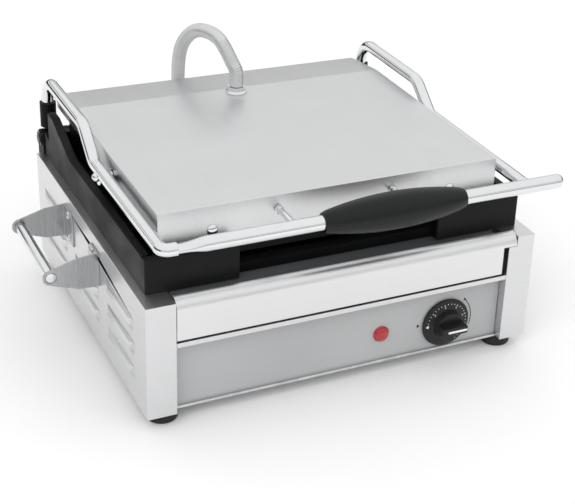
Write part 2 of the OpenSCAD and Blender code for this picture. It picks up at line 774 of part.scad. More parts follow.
module hinge_bolts() {
    head_y = back_y + block_plate_t;
    nut_h = 4.6;
    color("silver") for (s = [-1, 1], z = hinge_bolt_zs) {
        rod_y(back_y - 10, head_y, s * hinge_bolt_x, z, hinge_bolt_d);
        rod_y(head_y, head_y + 4, s * hinge_bolt_x, z, 10);
        translate([s * hinge_bolt_x, back_y - 2 * sheet - nut_h, z]) rotate([-90, 0, 0])
            cylinder(d = m6_hex, h = nut_h, $fn = 6);
    }
}

module hinge_shaft() {
    half = cheek_outer + 3;
    color("silver") difference() {
        rod_x(-half, half, shaft_y, shaft_z, shaft_d);
        for (s = [-1, 1]) difference() {
            rod_x(s * ring_x - ring_t / 2 - running, s * ring_x + ring_t / 2 + running, shaft_y, shaft_z,
                shaft_d + 2);
            rod_x(s * ring_x - ring_t, s * ring_x + ring_t, shaft_y, shaft_z, ring_groove_d);
        }
    }
}

module shaft_rings() {
    color("dimgray") for (s = [-1, 1]) difference() {
        rod_x(s * ring_x - ring_t / 2, s * ring_x + ring_t / 2, shaft_y, shaft_z, shaft_d + 6);
        rod_x(s * ring_x - ring_t, s * ring_x + ring_t, shaft_y, shaft_z, ring_groove_d);
        block([s * ring_x - ring_t, shaft_y - 3, shaft_z - shaft_d],
            [s * ring_x + ring_t, shaft_y + 3, shaft_z]);
    }
}

// A close-wound torsion spring around the shaft, drawn as its turns side by side
module spring(s) {
    x1 = inner_cheek - cheek_t - spring_wire / 2 - slip;
    mean = shaft_d / 2 + spring_wire / 2 + 1.2;
    color([0.55, 0.56, 0.58]) {
        for (i = [0 : spring_turns - 1]) translate([s * (x1 - i * spring_wire * 0.98), shaft_y, shaft_z])
            rotate([0, 90, 0]) rotate_extrude() translate([mean, 0]) circle(d = spring_wire, $fn = 24);
    }
}

module spring_left() { spring(-1); }
module spring_right() { spring(1); }

// ---- Flexible conduit from the back panel up to the lid ----

module conduit_elbow() {
    y1 = back_y - sheet;
    out = back_y + elbow_out;
    color("silver") difference() {
        union() {
            rod_y(y1 - sheet - 8, y1, elbow_x, elbow_z, elbow_thread - 2 * running);
            translate([elbow_x, y1 - sheet - 4, elbow_z]) rotate([-90, 0, 0])
                cylinder(d = 22, h = 4, $fn = 6);
            rod_y(y1, back_y + 5, elbow_x, elbow_z, 22);
            rod_y(back_y + 5, out, elbow_x, elbow_z, 18);
            translate([elbow_x, out, elbow_z]) sphere(9);
            rod_z(elbow_z, elbow_z + 12, elbow_x, out, 18);
            rod_z(elbow_z + 12, elbow_z + 20, elbow_x, out, elbow_ring_d);
        }
        rod_y(y1 - 20, out, elbow_x, elbow_z, 9);
        rod_z(elbow_z, elbow_z + 30, elbow_x, out, 9);
    }
}

module lid_gland() {
    color("silver") translate([0, gland_y, lid_top]) difference() {
        union() {
            rotate_extrude() polygon([[0, 0], [conduit_d / 2 + 4, 0], [conduit_d / 2 + 4, 1.6],
                [conduit_d / 2 + 1.6, 3], [conduit_d / 2 + 1.6, 8], [0, 8]]);
            translate([0, 0, -sheet - 7]) cylinder(d = conduit_hole - 0.4, h = sheet + 8);
        }
        translate([0, 0, -12]) cylinder(d = 10, h = 30);
    }
}

// Centre line: a smooth curve through a few points, from the elbow up and over to the lid
conduit_y = back_y + elbow_out;
conduit_points = [[elbow_x, conduit_y, elbow_z + 20], [elbow_x, conduit_y, elbow_z + 60],
    [-36, conduit_y, top_z + 79], [-33, back_y + 16, top_z + 113], [-24, back_y - 10, top_z + 135],
    [-12, back_y - 44, top_z + 135], [-3, back_y - 68, top_z + 111], [0, gland_y, lid_top + 24],
    [0, gland_y, lid_top + 8.6]];

function curve(a, b, c, d, t) = 0.5 * (2 * b + (c - a) * t + (2 * a - 5 * b + 4 * c - d) * t * t
    + (3 * b - a - 3 * c + d) * t * t * t);
function curve_points(p, steps) = let (n = len(p)) [for (i = [0 : n - 2], k = [0 : steps - 1])
    curve(p[max(i - 1, 0)], p[i], p[i + 1], p[min(i + 2, n - 1)], k / steps), p[n - 1]];

module swept(p, d, sides) {
    n = len(p);
    rings = [for (i = [0 : n - 1])
        let (t = unit(p[min(i + 1, n - 1)] - p[max(i - 1, 0)]))
        let (u = unit(cross([1, 0.2, 0], t)), v = cross(t, u))
        for (k = [0 : sides - 1]) p[i] + (cos(360 * k / sides) * u + sin(360 * k / sides) * v) * d / 2];
    walls = [for (i = [0 : n - 2], k = [0 : sides - 1])
        [i * sides + k, i * sides + (k + 1) % sides, (i + 1) * sides + (k + 1) % sides, (i + 1) * sides + k]];
    ends = [[for (k = [sides - 1 : -1 : 0]) k], [for (k = [0 : sides - 1]) (n - 1) * sides + k]];
    polyhedron(rings, concat([for (f = walls) [f[3], f[2], f[1], f[0]]],
        [for (f = ends) [for (k = [len(f) - 1 : -1 : 0]) f[k]]]));
}

module conduit() { color("silver") swept(curve_points(conduit_points, 4), conduit_d, 12); }

// ---- Arms, bar and grip ----

function arm_path() = [[bar_y, arm_z], [fy(arm_bend_1), arm_z], [fy(arm_bend_2), arm_top],
    [shaft_y, arm_top], [shaft_y, socket_z0 + 6]];

// An eye welded around the rod ahead of the lower bend carries the upper plate's pivot bolt
module arm(s) {
    color("silver") difference() {
        union() {
            bent_rod(arm_path(), arm_d, arm_bend_rs, s * arm_x);
            rod_x(s * arm_x - eye_half_w, s * arm_x + eye_half_w, pivot_y, pivot_z, eye_d);
        }
        rod_x(s * arm_x - 20, s * arm_x + 20, pivot_y, pivot_z, pivot_d);
        if (s > 0) rod_x(arm_x - 20, arm_x + 20, bar_y, arm_z, bar_d);
    }
}

module arm_left() {
    arm(-1);
    color("silver") {
        translate([-arm_x, bar_y, arm_z]) sphere(d = arm_d + 0.06);
        rod_x(-arm_x, bar_x0, bar_y, arm_z, arm_d);
    }
}
module arm_right() { arm(1); }

module handle_bar() {
    color("silver") {
        rod_x(bar_x0, bar_x0 + bar_l - bar_d / 2, bar_y, arm_z, bar_d);
        translate([bar_x0 + bar_l - bar_d / 2, bar_y, arm_z]) sphere(d = bar_d);
    }
}

// Barrel outline: an arc from end to end, with rounded ends
module handle_grip() {
    half = grip_l / 2;
    sag = (grip_d - grip_end_d) / 2;
    radius = (half * half + sag * sag) / (2 * sag);
    steps = 16;
    color([0.17, 0.18, 0.19]) difference() {
        translate([grip_shift, bar_y, arm_z]) rotate([0, 90, 0]) difference() {
            rotate_extrude() polygon(concat([[0, -half], [grip_end_d / 2 - 2, -half]],
                [for (i = [1 : steps - 1]) let (x = -half + 2 * half * i / steps)
                    [grip_d / 2 - radius + sqrt(radius * radius - x * x), x]],
                [[grip_end_d / 2 - 2, half], [0, half]]));
            translate([0, 0, -half - 1]) cylinder(d = bar_d, h = grip_l + 2);
        }
        rod_y(bar_y, bar_y + grip_d, peg_x, arm_z, peg_d);
    }
}

module stop_pegs() {
    color("silver") for (s = [-1, 1]) difference() {
        union() {
            rod_y(bar_y, lid_y - peg_gap - peg_tip_l, s * peg_x, arm_z, peg_d);
            rod_y(lid_y - peg_gap - peg_tip_l, lid_y - peg_gap, s * peg_x, arm_z, peg_d + 1.5);
        }
        rod_x(s * peg_x - 20, s * peg_x + 20, bar_y, arm_z, bar_d);
    }
}

module knuckle(s) {
    x0 = knuckle_x - knuckle_w;
    web_x = arm_x - socket_r;
    color([0.1, 0.1, 0.1]) mirror([s < 0 ? 1 : 0, 0, 0]) difference() {
        union() {
            rod_x(x0, knuckle_x, shaft_y, shaft_z, 2 * hub_r);
            block([web_x, shaft_y - 8, shaft_z], [knuckle_x, shaft_y + 8, socket_z0 + 8]);
            rod_z(socket_z0, socket_z1, arm_x, shaft_y, 2 * socket_r);
        }
        rod_x(x0 - 1, knuckle_x + 1, shaft_y, shaft_z, shaft_d);
        rod_z(socket_z0 + 6, socket_z1 + 1, arm_x, shaft_y, arm_d);
    }
}

module knuckle_left() { knuckle(-1); }
module knuckle_right() { knuckle(1); }

module pivot_bolts() {
    inner = upper_x - upper_wall - pivot_in + 2;
    outer = arm_x + arm_d / 2;
    color("silver") for (s = [-1, 1]) mirror([s < 0 ? 1 : 0, 0, 0]) {
        rod_x(inner, outer, pivot_y, pivot_z, pivot_d);
        translate([outer, pivot_y, pivot_z]) rotate([0, 90, 0]) rotate_extrude()
            polygon(concat([[0, 0]], [for (a = [0 : 15 : 90]) [5.5 * cos(a), 4 * sin(a)]]));
    }
}

// ---- Upper plate and lid ----

module upper_plate() {
    color([0.09, 0.09, 0.1]) difference() {
        union() {
            difference() {
                block([-upper_x, upper_front, upper_z], [upper_x, upper_rear, upper_top]);
                block([-upper_x + upper_wall, upper_front + upper_wall, upper_z + upper_slab],
                    [upper_x - upper_wall, upper_rear - upper_wall, upper_top + 1]);
            }
            for (s = [-1, 1]) block([s * upper_x, pivot_y - eye_d / 2, upper_z + upper_slab],
                [s * (upper_x - upper_wall), pivot_y + eye_d / 2, pivot_z + boss_over]);
        }
        ribs(-upper_x + 12, upper_x - 12, upper_front + 8, upper_rear - 8, upper_z - eps, -1);
        for (s = [-1, 1]) {
            rod_x(s * upper_x - 20, s * upper_x + 20, pivot_y, pivot_z, pivot_d + 2 * running);
            rod_y(upper_front - 1, upper_front + upper_wall + 1, s * cover_screw_x(), cover_screw_z(),
                cover_screw_d);
        }
    }
}
function cover_screw_x() = lid_x - 58;
function cover_screw_z() = lid_top - 27;

module lid_profile(inset) {
    rear_z = lid_top - lid_slope_drop;
    polygon([[lid_y + inset, lid_top - 60], [lid_y + inset, lid_top - inset], [crease_y, lid_top - inset],
        [lid_rear - inset, rear_z - inset], [lid_rear - inset, lid_top - 60]]);
}

module lid_cover() {
    color([0.83, 0.84, 0.85]) difference() {
        along_x(-lid_x, lid_x) lid_profile(0);
        along_x(-lid_x + sheet, lid_x - sheet) lid_profile(sheet);
        block([-lid_x - 1, lid_y + sheet, lid_top - 70],
            [lid_x + 1, lid_rear + 1, lid_top - lid_side_skirt - lid_slope_drop / 2]);
        block([-lid_x - 1, lid_y - 1, lid_top - 70], [lid_x + 1, lid_rear + 1, lid_top - lid_front_skirt]);
        translate([0, gland_y, lid_top - 20]) cylinder(d = conduit_hole, h = 40);
        for (s = [-1, 1]) {
            rod_y(lid_y - 1, lid_y + sheet + 1, s * cover_screw_x(), cover_screw_z(), cover_screw_d);
            rod_x(s * lid_x - 5, s * lid_x + 5, pivot_y, pivot_z, pivot_d + 3);
            block([s * lid_x - 5, pivot_y - pivot_d / 2 - 1.5, pivot_z - 20],
                [s * lid_x + 5, pivot_y + pivot_d / 2 + 1.5, pivot_z]);
        }
    }
}

module cover_screws() {
    color("silver") for (s = [-1, 1]) {
        rod_y(lid_y, upper_front + upper_wall, s * cover_screw_x(), cover_screw_z(), cover_screw_d);
        translate([s * cover_screw_x(), lid_y, cover_screw_z()]) rotate([90, 0, 0]) difference() {
            rotate_extrude()
                polygon(concat([[0, 0]], [for (a = [0 : 15 : 90]) [6.3 * cos(a), 4.2 * sin(a)]]));
            translate([0, 0, 2.2]) cylinder(d = 4, h = 5, $fn = 6);
        }
    }
}

module upper_element() {
    color([0.35, 0.33, 0.32]) element_loop(element_x, upper_front + 24, upper_rear - 24, upper_el_z);
}

module upper_insulation() {
    z0 = upper_el_z + element_d / 2;
    color([0.86, 0.84, 0.78])
        block([-upper_x + upper_wall + pivot_in, upper_front + upper_wall + 2, z0],
            [upper_x - upper_wall - pivot_in, upper_rear - upper_wall - 2, z0 + 6]);
}

// ---- Knob and tray ----

module knob() {
    y = panel_y - 1;
    color([0.07, 0.07, 0.07]) translate([knob_x, y, fz(knob_z)]) rotate([90, 0, 0]) difference() {
        union() {
            rotate_extrude() polygon([[0, 0], [knob_d / 2, 0], [knob_d / 2, 1.5], [knob_d / 2 - 2, 3.5],
                [hub_d / 2 + 1, 5], [hub_d / 2 - 1, 12], [hub_d / 2 - 3, 13], [0, 13]]);
            translate([-hub_d / 2 + 1, -5.5, 4]) cube([hub_d - 2, 11, knob_out - 4]);
        }
        translate([0, 0, -1]) cylinder(d = 6, h = 13);
        translate([hub_d / 2 - 26, -2, knob_out - 1]) cube([24, 4, 3]);
    }
}

module knob_insert() {
    y = panel_y - knob_out;
    color("white") block([knob_x + hub_d / 2 - 26, y - 0.6, fz(knob_z) - 2],
        [knob_x + hub_d / 2 - 2, y, fz(knob_z) + 2]);
}

module thermostat_shaft() {
    color("silver") rod_y(panel_y - 1 - 12, panel_y + sheet + 22, knob_x, fz(knob_z), 6);
}

// Drawer with a rolled front edge that also laps over the right-hand post
module drip_tray() {
    arc_y = front_y + tray_roll;
    arc_z = tray_top - tray_roll;
    steps = 12;
    turn = 90 / steps;
    in_roll = tray_roll - sheet;
    outer = [for (i = [0 : steps]) [arc_y - tray_roll * cos(turn * i), arc_z + tray_roll * sin(turn * i)]];
    inner = [for (i = [steps : -1 : 0]) [arc_y - in_roll * cos(turn * i), arc_z + in_roll * sin(turn * i)]];
    y1 = front_y + tray_d;
    color([0.86, 0.86, 0.87]) {
        difference() {
            along_x(tray_x0, post_x + tray_lap) polygon(concat([[front_y, tray_z0]], outer, inner,
                [[front_y + sheet, tray_z0]]));
            block([tray_x1, front_y - 1, tray_z0 - 1], [post_x + 40, front_y + tray_roll, tray_lip_z]);
        }
        difference() {
            block([-tray_in_x, front_y + sheet, tray_z0], [tray_in_x - 6, y1, tray_z0 + tray_wall_h]);
            block([-tray_in_x + sheet, front_y + 2 * sheet, tray_z0 + sheet],
                [tray_in_x - 6 - sheet, y1 - sheet, tray_z0 + tray_wall_h + 1]);
        }
        block([-tray_in_x, front_y + eps, tray_z0], [tray_in_x - 6, front_y + sheet + eps, tray_z0 + 12]);
    }
}

base_pan();
side_panel_left();
side_panel_right();
back_panel();
control_panel();
lower_plate();
grease_chute();
lower_element();
lower_insulation();
heat_shield();
plate_bolts();
tray_runners();
thermostat_body();
thermostat_bulb();
pilot_lamp_lens();
pilot_lamp_body();
terminal_block();
cable_gland();
rubber_feet();
foot_screws();
left_bracket_front();
left_bracket_rear();
left_carry_rod();
right_bracket_front();
right_bracket_rear();
right_carry_rod();
bracket_screws();
hinge_block_left();
hinge_block_right();
hinge_bolts();
spring_left();
spring_right();
conduit_elbow();
conduit();
back_screws();
arm_left();
arm_right();
handle_bar();
handle_grip();
stop_pegs();
pivot_bolts();
hinge_shaft();
shaft_rings();
knuckle_left();
knuckle_right();
upper_plate();
lid_cover();
upper_element();
upper_insulation();
cover_screws();
lid_gland();
knob();
knob_insert();
thermostat_shaft();
drip_tray();
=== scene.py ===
"""Looks of a single contact grill (panini press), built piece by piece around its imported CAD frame."""
import json
import math

import bmesh
import bpy
from bpy.props import FloatProperty, FloatVectorProperty, IntProperty, PointerProperty
from bpy.types import Operator, Panel, PropertyGroup
from mathutils import Matrix, Vector


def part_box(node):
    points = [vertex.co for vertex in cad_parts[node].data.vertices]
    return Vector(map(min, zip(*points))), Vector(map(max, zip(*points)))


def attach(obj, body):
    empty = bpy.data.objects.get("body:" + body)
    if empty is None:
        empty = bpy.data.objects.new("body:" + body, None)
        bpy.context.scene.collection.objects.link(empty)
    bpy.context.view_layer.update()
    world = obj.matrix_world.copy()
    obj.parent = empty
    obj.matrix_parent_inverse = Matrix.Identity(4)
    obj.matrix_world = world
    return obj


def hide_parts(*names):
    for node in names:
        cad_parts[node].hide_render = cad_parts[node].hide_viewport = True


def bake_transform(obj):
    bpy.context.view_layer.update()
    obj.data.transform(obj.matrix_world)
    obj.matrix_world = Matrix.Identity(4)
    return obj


bl_info = {
    "name": "Contact Grill Builder",
    "version": (1, 0, 0),
    "blender": (4, 5, 0),
    "location": "View3D > Sidebar > Grill",
    "description": "Builds the sheet metal, castings, tubes and trim of a contact grill around its CAD frame",
    "category": "Object",
}

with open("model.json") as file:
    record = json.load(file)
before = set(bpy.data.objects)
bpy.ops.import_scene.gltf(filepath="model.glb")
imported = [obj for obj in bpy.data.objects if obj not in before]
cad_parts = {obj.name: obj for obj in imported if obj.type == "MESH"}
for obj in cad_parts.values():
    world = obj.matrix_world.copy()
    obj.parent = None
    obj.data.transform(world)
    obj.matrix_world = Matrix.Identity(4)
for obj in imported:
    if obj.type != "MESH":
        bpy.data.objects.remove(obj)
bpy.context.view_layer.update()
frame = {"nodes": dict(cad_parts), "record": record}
MM = 0.001
SLOT_OF = {part["node"]: part["material_slot"] for part in frame["record"]["subparts"]}
BODY_OF = {node: body for body, nodes in frame["record"]["behaviour"]["bodies"].items() for node in nodes}
JOINT_AT = {joint["name"]: Vector(joint["pos_m"]) for joint in frame["record"]["behaviour"]["joints"]
            if "pos_m" in joint}


def low(node):
    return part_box(node)[0]


def high(node):
    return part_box(node)[1]


def middle(node):
    return (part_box(node)[0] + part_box(node)[1]) / 2


# ---- Materials -----------------------------------------------------------------------------------

def start_material(name, colour, metallic, roughness, **shader):
    """A Principled material whose plain numbers sit on the shader's own sockets"""
    made = bpy.data.materials.new(name)
    made.use_nodes = True
    tree = made.node_tree
    surface = tree.nodes["Principled BSDF"]
    surface.inputs["Base Color"].default_value = (*colour, 1)
    surface.inputs["Metallic"].default_value = metallic
    surface.inputs["Roughness"].default_value = roughness
    for socket, value in shader.items():
        surface.inputs[socket.replace("_", " ").title().replace("Ior", "IOR")].default_value = value
    return made, tree, surface


def noise(tree, scale, stretch=(1, 1, 1), detail=3, source="Object"):
    """Noise over the piece's own coordinates, stretched per axis; scale counts features per metre"""
    place = tree.nodes.new("ShaderNodeTexCoord")
    mapping = tree.nodes.new("ShaderNodeMapping")
    mapping.inputs["Scale"].default_value = stretch
    made = tree.nodes.new("ShaderNodeTexNoise")
    made.inputs["Scale"].default_value = scale
    made.inputs["Detail"].default_value = detail
    tree.links.new(place.outputs[source], mapping.inputs["Vector"])
    tree.links.new(mapping.outputs["Vector"], made.inputs["Vector"])
    return made.outputs["Fac"]


def spread(tree, fac, low_value, high_value, start=0.3, end=0.7):
    """Maps a pattern's middle range to two numbers"""
    made = tree.nodes.new("ShaderNodeMapRange")
    for socket, value in (("From Min", start), ("From Max", end), ("To Min", low_value), ("To Max", high_value)):
        made.inputs[socket].default_value = value
    tree.links.new(fac, made.inputs["Value"])
    return made.outputs["Result"]


def shades(tree, fac, first, second, start=0.3, end=0.7):
    """Maps a pattern to a run from one colour to another"""
    made = tree.nodes.new("ShaderNodeValToRGB")
    for element, place, colour in zip(made.color_ramp.elements, (start, end), (first, second)):
        element.position = place
        element.color = (*colour, 1)
    tree.links.new(fac, made.inputs["Fac"])
    return made.outputs["Color"]


def mixed(tree, fac, first, second):
    made = tree.nodes.new("ShaderNodeMix")
    made.data_type = "RGBA"
    tree.links.new(fac, made.inputs[0])
    tree.links.new(first, made.inputs[6])
    if isinstance(second, tuple):
        made.inputs[7].default_value = (*second, 1)
    else:
        tree.links.new(second, made.inputs[7])
    return made.outputs[2]


def bumped(tree, surface, height, depth, strength=1.0):
    made = tree.nodes.new("ShaderNodeBump")
    made.inputs["Strength"].default_value = strength
    made.inputs["Distance"].default_value = depth
    tree.links.new(height, made.inputs["Height"])
    tree.links.new(made.outputs["Normal"], surface.inputs["Normal"])


def scaled(colour, factor):
    return tuple(min(1.0, channel * factor) for channel in colour)


def brushed(name, colour, roughness, grain, contrast=0.05, depth=0.00002):
    """Sheet with a brushed grain: the stretch is high across the grain and low along it"""
    made, tree, surface = start_material(name, colour, 1.0, roughness)
    lines = noise(tree, 1, grain, 4)
    clouds = noise(tree, 14, (1, 1, 1), 3)
    tone = shades(tree, lines, scaled(colour, 1 - contrast), scaled(colour, 1 + contrast))
    soft = shades(tree, clouds, scaled(colour, 1 - contrast / 2), scaled(colour, 1 + contrast / 2))
    tree.links.new(mixed(tree, clouds, tone, soft), surface.inputs["Base Color"])
    tree.links.new(spread(tree, lines, roughness - 0.06, roughness + 0.07), surface.inputs["Roughness"])
    bumped(tree, surface, lines, depth, 0.5)
    return made


def polished(name, colour, roughness):
    """Bright plating with faint smears"""
    made, tree, surface = start_material(name, colour, 1.0, roughness)
    smears = noise(tree, 60, (1, 1, 1), 4)
    tree.links.new(spread(tree, smears, roughness * 0.6, roughness * 1.8), surface.inputs["Roughness"])
    tree.links.new(shades(tree, smears, scaled(colour, 0.96), colour), surface.inputs["Base Color"])
    return made


def cast_iron(name, colour):
    """Seasoned black iron: a sandy skin, cloudy oil and edges rubbed a little brighter"""
    made, tree, surface = start_material(name, colour, 0.0, 0.5, specular_ior_level=0.14)
    sand = noise(tree, 900, (1, 1, 1), 3)
    clouds = noise(tree, 22, (1, 1, 1), 4)
    wear = tree.nodes.new("ShaderNodeNewGeometry").outputs["Pointiness"]
    tone = shades(tree, clouds, scaled(colour, 0.8), scaled(colour, 1.7))
    edges = spread(tree, wear, 0.0, 0.35, 0.54, 0.62)
    tree.links.new(mixed(tree, edges, tone, (0.05, 0.05, 0.052)), surface.inputs["Base Color"])
    tree.links.new(spread(tree, clouds, 0.36, 0.56), surface.inputs["Roughness"])
    bumped(tree, surface, sand, 0.00025, 0.5)
    return made


def moulded(name, colour, roughness, grain_scale=1400, depth=0.00006, **shader):
    """Moulded plastic, rubber or ceramic with a fine skin"""
    made, tree, surface = start_material(name, colour, 0.0, roughness, **shader)
    skin = noise(tree, grain_scale, (1, 1, 1), 2)
    clouds = noise(tree, 30, (1, 1, 1), 3)
    tree.links.new(shades(tree, clouds, scaled(colour, 0.88), scaled(colour, 1.12)), surface.inputs["Base Color"])
    tree.links.new(spread(tree, clouds, roughness - 0.05, roughness + 0.06), surface.inputs["Roughness"])
    bumped(tree, surface, skin, depth, 0.4)
    return made


def painted(name, colour, roughness):
    """Baked paint with a faint orange peel"""
    made, tree, surface = start_material(name, colour, 0.0, roughness, coat_weight=0.15)
    peel = noise(tree, 500, (1, 1, 1), 2)
    clouds = noise(tree, 9, (1, 1, 1), 3)
    tree.links.new(shades(tree, clouds, scaled(colour, 0.96), scaled(colour, 1.04)), surface.inputs["Base Color"])
    tree.links.new(spread(tree, peel, roughness - 0.04, roughness + 0.04), surface.inputs["Roughness"])
    bumped(tree, surface, peel, 0.00004, 0.3)
    return made


def spangled(name, colour, roughness):
    """Zinc coating: patches of crystal that catch the light differently"""
    made, tree, surface = start_material(name, colour, 1.0, roughness)
    place = tree.nodes.new("ShaderNodeTexCoord")
    cells = tree.nodes.new("ShaderNodeTexVoronoi")
    cells.inputs["Scale"].default_value = 160
    tree.links.new(place.outputs["Object"], cells.inputs["Vector"])
    split = tree.nodes.new("ShaderNodeSeparateColor")
    tree.links.new(cells.outputs["Color"], split.inputs["Color"])
    fac = split.outputs["Red"]
    tree.links.new(shades(tree, fac, scaled(colour, 0.88), scaled(colour, 1.1), 0, 1), surface.inputs["Base Color"])
    tree.links.new(spread(tree, fac, roughness - 0.08, roughness + 0.1, 0, 1), surface.inputs["Roughness"])
    return made


def wool(name, colour):
    """Matted mineral fibres"""
    made, tree, surface = start_material(name, colour, 0.0, 0.95)
    fibres = noise(tree, 1, (260, 2200, 900), 5)
    tree.links.new(shades(tree, fibres, scaled(colour, 0.75), scaled(colour, 1.15)), surface.inputs["Base Color"])
    bumped(tree, surface, fibres, 0.0006, 0.8)
    return made


def lamp_red(name, colour):
    """Clear red cap, darker where the moulded rings inside it show"""
    made, tree, surface = start_material(name, colour, 0.0, 0.12, coat_weight=0.8, ior=1.49)
    rings = noise(tree, 420, (1, 1, 1), 1)
    tree.links.new(shades(tree, rings, scaled(colour, 0.75), scaled(colour, 1.15)), surface.inputs["Base Color"])
    surface.inputs["Emission Color"].default_value = (0.8, 0.01, 0.02, 1)
    surface.inputs["Emission Strength"].default_value = 0.05
    return made


def make_finishes(tones):
    """Every material slot of the record, as a procedural material"""
    along_depth = (900, 7, 7)
    level = (7, 7, 700)
    upright = (700, 700, 7)
    return {
        "satin_steel": brushed("satin_steel", tuple(tones.casing), 0.32, level, 0.03),
        "lid_steel": brushed("lid_steel", tuple(tones.lid), 0.38, along_depth, 0.05),
        "brushed_steel": brushed("brushed_steel", tuple(tones.bracket), 0.28, upright, 0.10),
        "tray_steel": brushed("tray_steel", tuple(tones.tray), 0.36, (5, 700, 700), 0.03),
        "panel_grey": painted("panel_grey", tuple(tones.panel), 0.5),
        "cast_iron": cast_iron("cast_iron", tuple(tones.iron)),
        "dark_enamel": painted("dark_enamel", (0.07, 0.075, 0.08), 0.35),
        "element_sheath": brushed("element_sheath", (0.25, 0.23, 0.21), 0.5, (300, 300, 300), 0.2),
        "mineral_wool": wool("mineral_wool", (0.72, 0.68, 0.58)),
        "galvanised": spangled("galvanised", (0.70, 0.71, 0.72), 0.4),
        "zinc": polished("zinc", (0.66, 0.67, 0.68), 0.22),
        "thermostat_case": moulded("thermostat_case", (0.30, 0.16, 0.07), 0.35),
        "copper": brushed("copper", (0.80, 0.42, 0.25), 0.25, (200, 20, 200), 0.08),
        "red_lens": lamp_red("red_lens", tuple(tones.lamp)),
        "black_plastic": moulded("black_plastic", (0.009, 0.009, 0.010), 0.34, specular_ior_level=0.35),
        "white_plastic": moulded("white_plastic", (0.85, 0.85, 0.84), 0.4),
        "ceramic": moulded("ceramic", (0.80, 0.78, 0.72), 0.25, coat_weight=0.3),
        "foot_rubber": moulded("foot_rubber", (0.012, 0.012, 0.012), 0.7, 700, 0.0001),
        "chrome": polished("chrome", tuple(tones.chrome), 0.07),
        "conduit_steel": brushed("conduit_steel", (0.70, 0.705, 0.71), 0.36, (90, 90, 90), 0.04),
        "spring_steel": brushed("spring_steel", (0.08, 0.08, 0.085), 0.35, (200, 200, 200), 0.1),
        "grip_plastic": moulded("grip_plastic", tuple(tones.grip), 0.34, 1100, 0.00008, specular_ior_level=0.32),
    }


FINISH = {}


# ---- Making pieces -------------------------------------------------------------------------------

def finish_piece(bm, name, nodes, body=None, slot=None, angle=38, weighted=True, replace=True):
    """Turns a bmesh into a piece that rides on its node's body and stands for its nodes"""
    bmesh.ops.remove_doubles(bm, verts=bm.verts, dist=1e-6)
    bmesh.ops.recalc_face_normals(bm, faces=bm.faces)
    return place_piece(bm, name, nodes, body, slot, angle, weighted, replace)


def place_piece(bm, name, nodes, body=None, slot=None, angle=38, weighted=True, replace=True):
    mesh = bpy.data.meshes.new(name)
    bm.to_mesh(mesh)
    bm.free()
    if not mesh.polygons:
        raise RuntimeError(f"{name} has no faces")
    mesh.polygons.foreach_set("use_smooth", [True] * len(mesh.polygons))
    mesh.set_sharp_from_angle(angle=math.radians(angle))
    piece = bpy.data.objects.new(name, mesh)
    bpy.context.scene.collection.objects.link(piece)
    slot = slot or SLOT_OF[nodes[0]]
    mesh.materials.append(FINISH[slot])
    if weighted:
        even = piece.modifiers.new("Even shading", "WEIGHTED_NORMAL")
        even.keep_sharp = True
    if body != "blend":
        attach(piece, body or BODY_OF[nodes[0]])
    if replace:
        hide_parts(*nodes)
    return piece


def solid_of(node):
    """A merged copy of a CAD node's mesh, with its flat faces whole again"""
    bm = bmesh.new()
    bm.from_mesh(frame["nodes"][node].data)
    bmesh.ops.remove_doubles(bm, verts=bm.verts, dist=1e-6)
    bmesh.ops.dissolve_limit(bm, angle_limit=math.radians(0.5), verts=bm.verts, edges=bm.edges)
    return bm


def soften(bm, width, segments=2, least=40, clamp=False):
    """Rounds every edge that turns by more than the least angle"""
    edges = [edge for edge in bm.edges
             if len(edge.link_faces) == 2 and edge.calc_face_angle(0) > math.radians(least)]
    bmesh.ops.bevel(bm, geom=edges, offset=width, offset_type="OFFSET", affect="EDGES", segments=segments,
                    profile=0.5, material=-1, clamp_overlap=clamp, loop_slide=True)


def keep_inside(bm, node):
    """Holds every point within the node's own box, where a bevel's corner would stand out of it"""
    floor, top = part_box(node)
    for vert in bm.verts:
        vert.co = [min(max(vert.co[axis], floor[axis]), top[axis]) for axis in range(3)]


def softened(node, name, width, segments=2, least=40, clamp=False, angle=38):
    """A CAD node's own shape with rounded edges, as a piece of its own"""
    bm = solid_of(node)
    soften(bm, width, segments, least, clamp)
    keep_inside(bm, node)
    return finish_piece(bm, name, [node], angle=angle)


def block(bm, corner_a, corner_b):
    """A box from one corner to the other"""
    size = Vector(corner_b) - Vector(corner_a)
    centre = (Vector(corner_b) + Vector(corner_a)) / 2
    made = bmesh.ops.create_cube(bm, size=1, matrix=Matrix.Translation(centre) @ Matrix.Diagonal((*size, 1)))
    return made["verts"]


def turned_to(axis):
    return Vector((0, 0, 1)).rotation_difference(Vector(axis)).to_matrix().to_4x4()


def lathe(bm, outline, centre, axis, steps=48):
    """Spins an outline of (radius, along) points about an axis through centre"""
    verts = [bm.verts.new((radius, 0, along)) for radius, along in outline]
    edges = [bm.edges.new(pair) for pair in zip(verts, verts[1:])]
    made = bmesh.ops.spin(bm, geom=verts + edges, cent=(0, 0, 0), axis=(0, 0, 1), dvec=(0, 0, 0),
                          angle=2 * math.pi, space=Matrix(), steps=steps, use_merge=True,
                          use_normal_flip=False, use_duplicate=False)
    seen = set(verts) | {item for item in made["geom_last"] if isinstance(item, bmesh.types.BMVert)}
    linked = list(seen)
    for vert in linked:
        for edge in vert.link_edges:
            other = edge.other_vert(vert)
            if other not in seen:
                seen.add(other)
                linked.append(other)
    bmesh.ops.transform(bm, matrix=Matrix.Translation(Vector(centre)) @ turned_to(axis), verts=linked)


